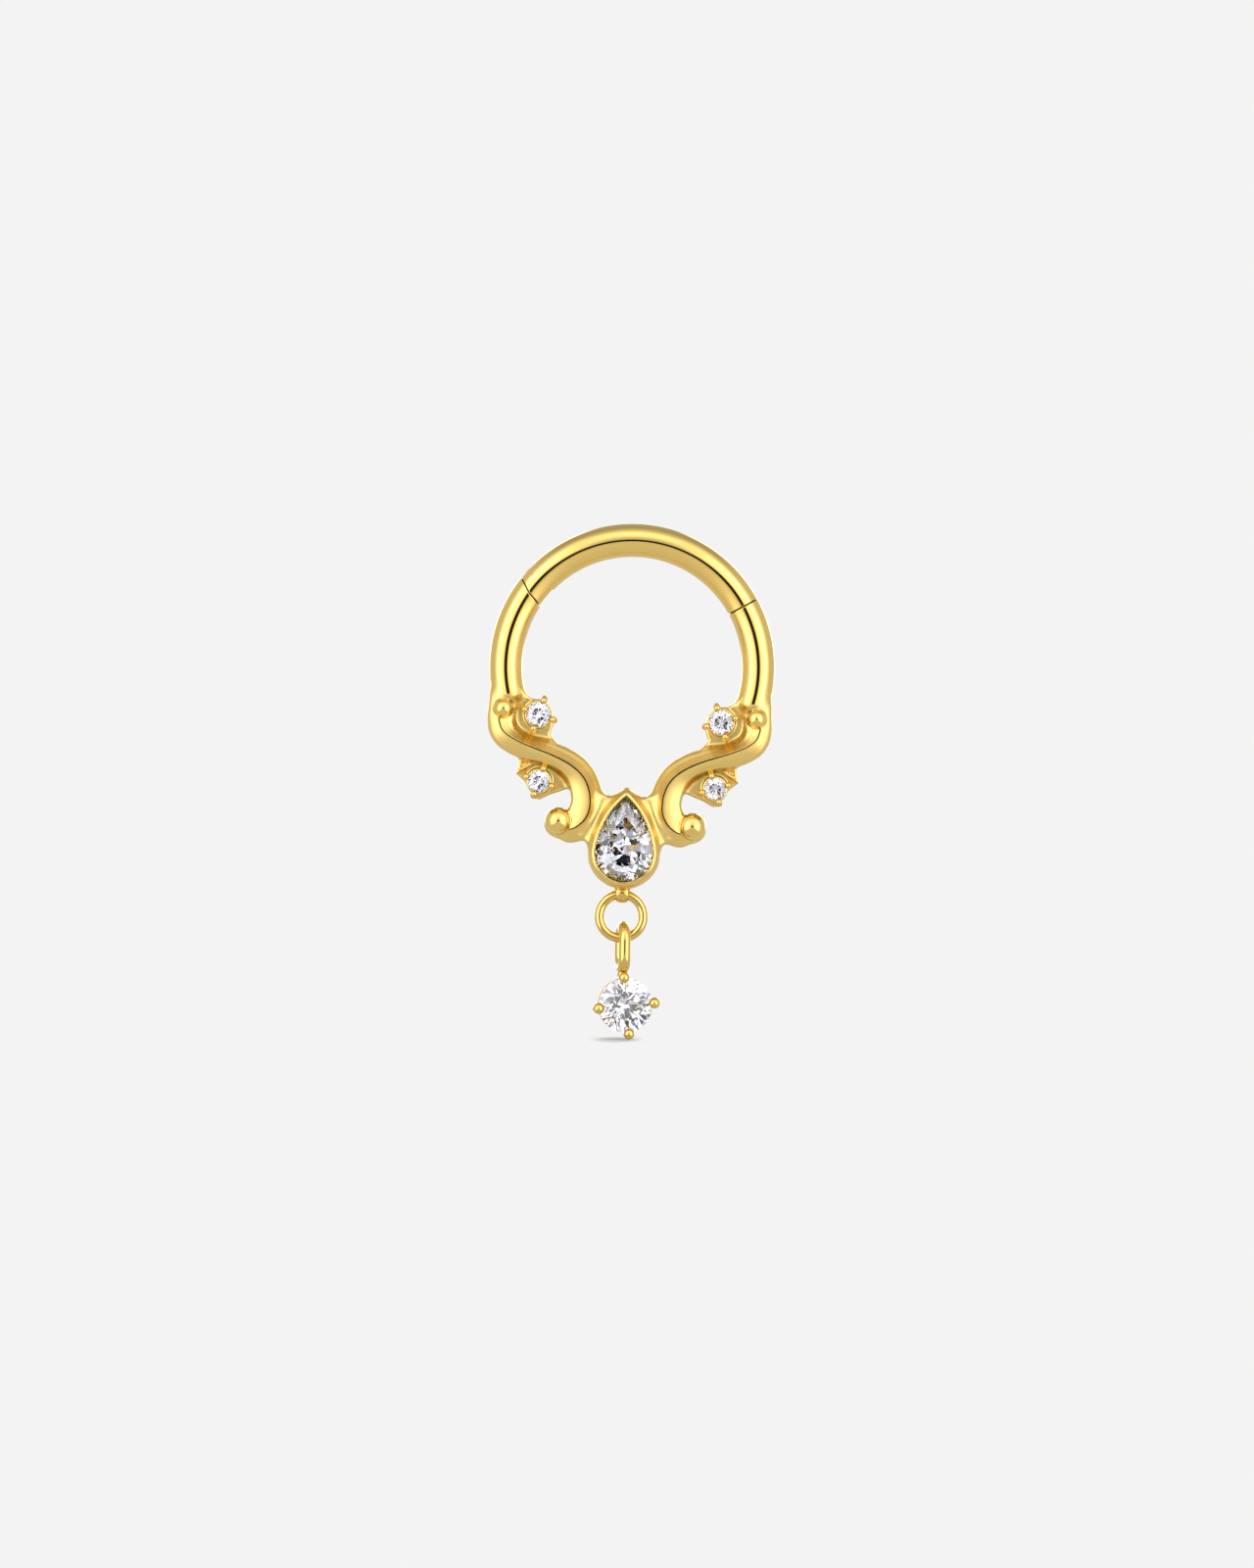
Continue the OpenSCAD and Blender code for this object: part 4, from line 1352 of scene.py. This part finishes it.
# The studio's softboxes and dark cards, each laid over those before it. "away" is
# the angle from straight in front, "rise" the angle above level of the way there,
# and "across" and "up" are the plain angles to the side and above level
BOXES = [
    [("away", 5, 26, 56, 90), ("rise", -42, -26, 50, 80), 1.7],
    [("away", 34, 46, 54, 66), ("rise", -34, -16, 40, 62), 3.4],
    [("away", 12, 46, 50, 84), ("rise", 50, 80, 95, 99), 1.7],
    [("away", 84, 100, 190, 199), ("rise", 35, 60, 95, 99), 0.5],
    [("away", 140, 150, 166, 174), ("rise", -20, 0, 60, 75), 2.4],
    [("across", -11, -9.5, 9.5, 11), ("up", -6, -4, 7, 9), 0.02],
]
FILL = 0.76
# Edge of the dark hood in front that the stones look into, and how much brighter
# the studio is for them
HOOD = (19, 25)
STONE_LIGHT = 1.12
# Steps that work out the four angles of a way from its own x, y and z
STEPS = [
    ("forward", "MULTIPLY", "y", -1.0), ("sideways", "ABSOLUTE", "x"),
    ("away", "ARCCOSINE", "forward"), ("away", "DEGREES", "away"),
    ("rise", "ARCTAN2", "z", "sideways"), ("rise", "DEGREES", "rise"),
    ("across", "ARCTAN2", "sideways", "forward"), ("across", "DEGREES", "across"),
    ("up", "ARCSINE", "z"), ("up", "DEGREES", "up"),
]


def make_world():
    """Pale studio drawn by direction, both sides alike."""
    world = bpy.data.worlds.new("studio")
    bpy.context.scene.world = world
    world.use_nodes = True
    tree = world.node_tree
    tree.nodes.clear()
    way = add(tree, "ShaderNodeTexCoord").outputs["Generated"]
    measures = dict(zip("xyz", add(tree, "ShaderNodeSeparateXYZ", {0: way}).outputs))
    for name, operation, *terms in STEPS:
        inputs = {k: measures.get(term, term) for k, term in enumerate(terms)}
        measures[name] = add(tree, "ShaderNodeMath", inputs, operation=operation)
    light = FILL
    for *spans, level in BOXES:
        light = softbox(tree, light, measures, spans, level)
    path = add(tree, "ShaderNodeLightPath").outputs
    bright = add(tree, "ShaderNodeMath", {0: light, 1: STONE_LIGHT}, operation="MULTIPLY")
    hood = softbox(tree, bright, measures, [("away", -9, -1, *HOOD)], 0.03)
    light = add(tree, "ShaderNodeMix", {0: path["Is Transmission Ray"], 2: light, 3: hood})
    studio = add(tree, "ShaderNodeBackground", {"Color": light})
    backdrop = add(tree, "ShaderNodeBackground", {"Color": linear(BACKDROP)})
    seen = path["Is Camera Ray"]
    both = add(tree, "ShaderNodeMixShader", {0: seen, 1: studio, 2: backdrop})
    add(tree, "ShaderNodeOutputWorld", {"Surface": both})


FLOOR_GAP = 0.03
# Floor's grey, darker than the backdrop so that the disc reads as a painted contact shadow
FLOOR_SHADOW_GREY = 0.66
FLOOR_FULL = 0.3
FLOOR_END = 1.15
FLOOR_X = 0.5


def make_floor():
    """Matt floor just under the drop, level in the picture, which takes the drop's real shadow and is
    greyer than the backdrop as a painted soft shadow, and fades into the backdrop round it; it is twice as
    long from front to back as it is wide."""
    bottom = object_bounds()[0][2] - FLOOR_GAP * MM
    mesh = ready_shape(bmesh.ops.create_circle, cap_ends=True, segments=96,
                       radius=2 * FLOOR_END * MM)
    mesh.transform(Matrix.Translation((FLOOR_X * MM, 0, bottom)) @ Matrix.Rotation(-ROLL, 4, "Y"))
    floor = in_scene("floor", mesh)
    material = bpy.data.materials.new("matt_paper_painted_shadow")
    material.use_nodes = True
    tree = material.node_tree
    tree.nodes.clear()
    place = add(tree, "ShaderNodeTexCoord").outputs["Object"]
    flat = add(tree, "ShaderNodeVectorMath", {0: place, 1: (1, 0.5, 0)}, operation="MULTIPLY")
    reach = add(tree, "ShaderNodeVectorMath", {0: flat}, operation="LENGTH")
    faded = add(tree, "ShaderNodeMapRange", {
        "Value": reach.outputs["Value"], "From Min": FLOOR_FULL * MM, "From Max": FLOOR_END * MM,
    }, interpolation_type="SMOOTHSTEP")
    paper = add(tree, "ShaderNodeBsdfDiffuse", {"Color": (FLOOR_SHADOW_GREY, FLOOR_SHADOW_GREY, FLOOR_SHADOW_GREY, 1)})
    clear = add(tree, "ShaderNodeBsdfTransparent")
    both = add(tree, "ShaderNodeMixShader", {0: faded, 1: paper, 2: clear})
    add(tree, "ShaderNodeOutputMaterial", {"Surface": both})
    mesh.materials.append(material)


# Camera at the photo's angle: a long lens, a little above, and rolled a little
LENS = 220
DISTANCE = 349
AIM = (0.0, 0, -8.87)
RISE = 2 * DEG
ROLL = 2.5 * DEG


def make_camera():
    data = bpy.data.cameras.new("camera")
    data.lens = LENS
    data.clip_start = 0.01
    data.clip_end = 2
    camera = in_scene("camera", data)
    bpy.context.scene.camera = camera
    tilt = Matrix.Rotation(math.pi / 2 - RISE, 4, "X")
    roll = Matrix.Rotation(ROLL, 4, "Z")
    back = Matrix.Translation((0, 0, DISTANCE * MM))
    camera.matrix_world = Matrix.Translation([c * MM for c in AIM]) @ tilt @ back @ roll


make_world()
make_floor()
make_camera()
bpy.context.scene.view_settings.view_transform = "Standard"
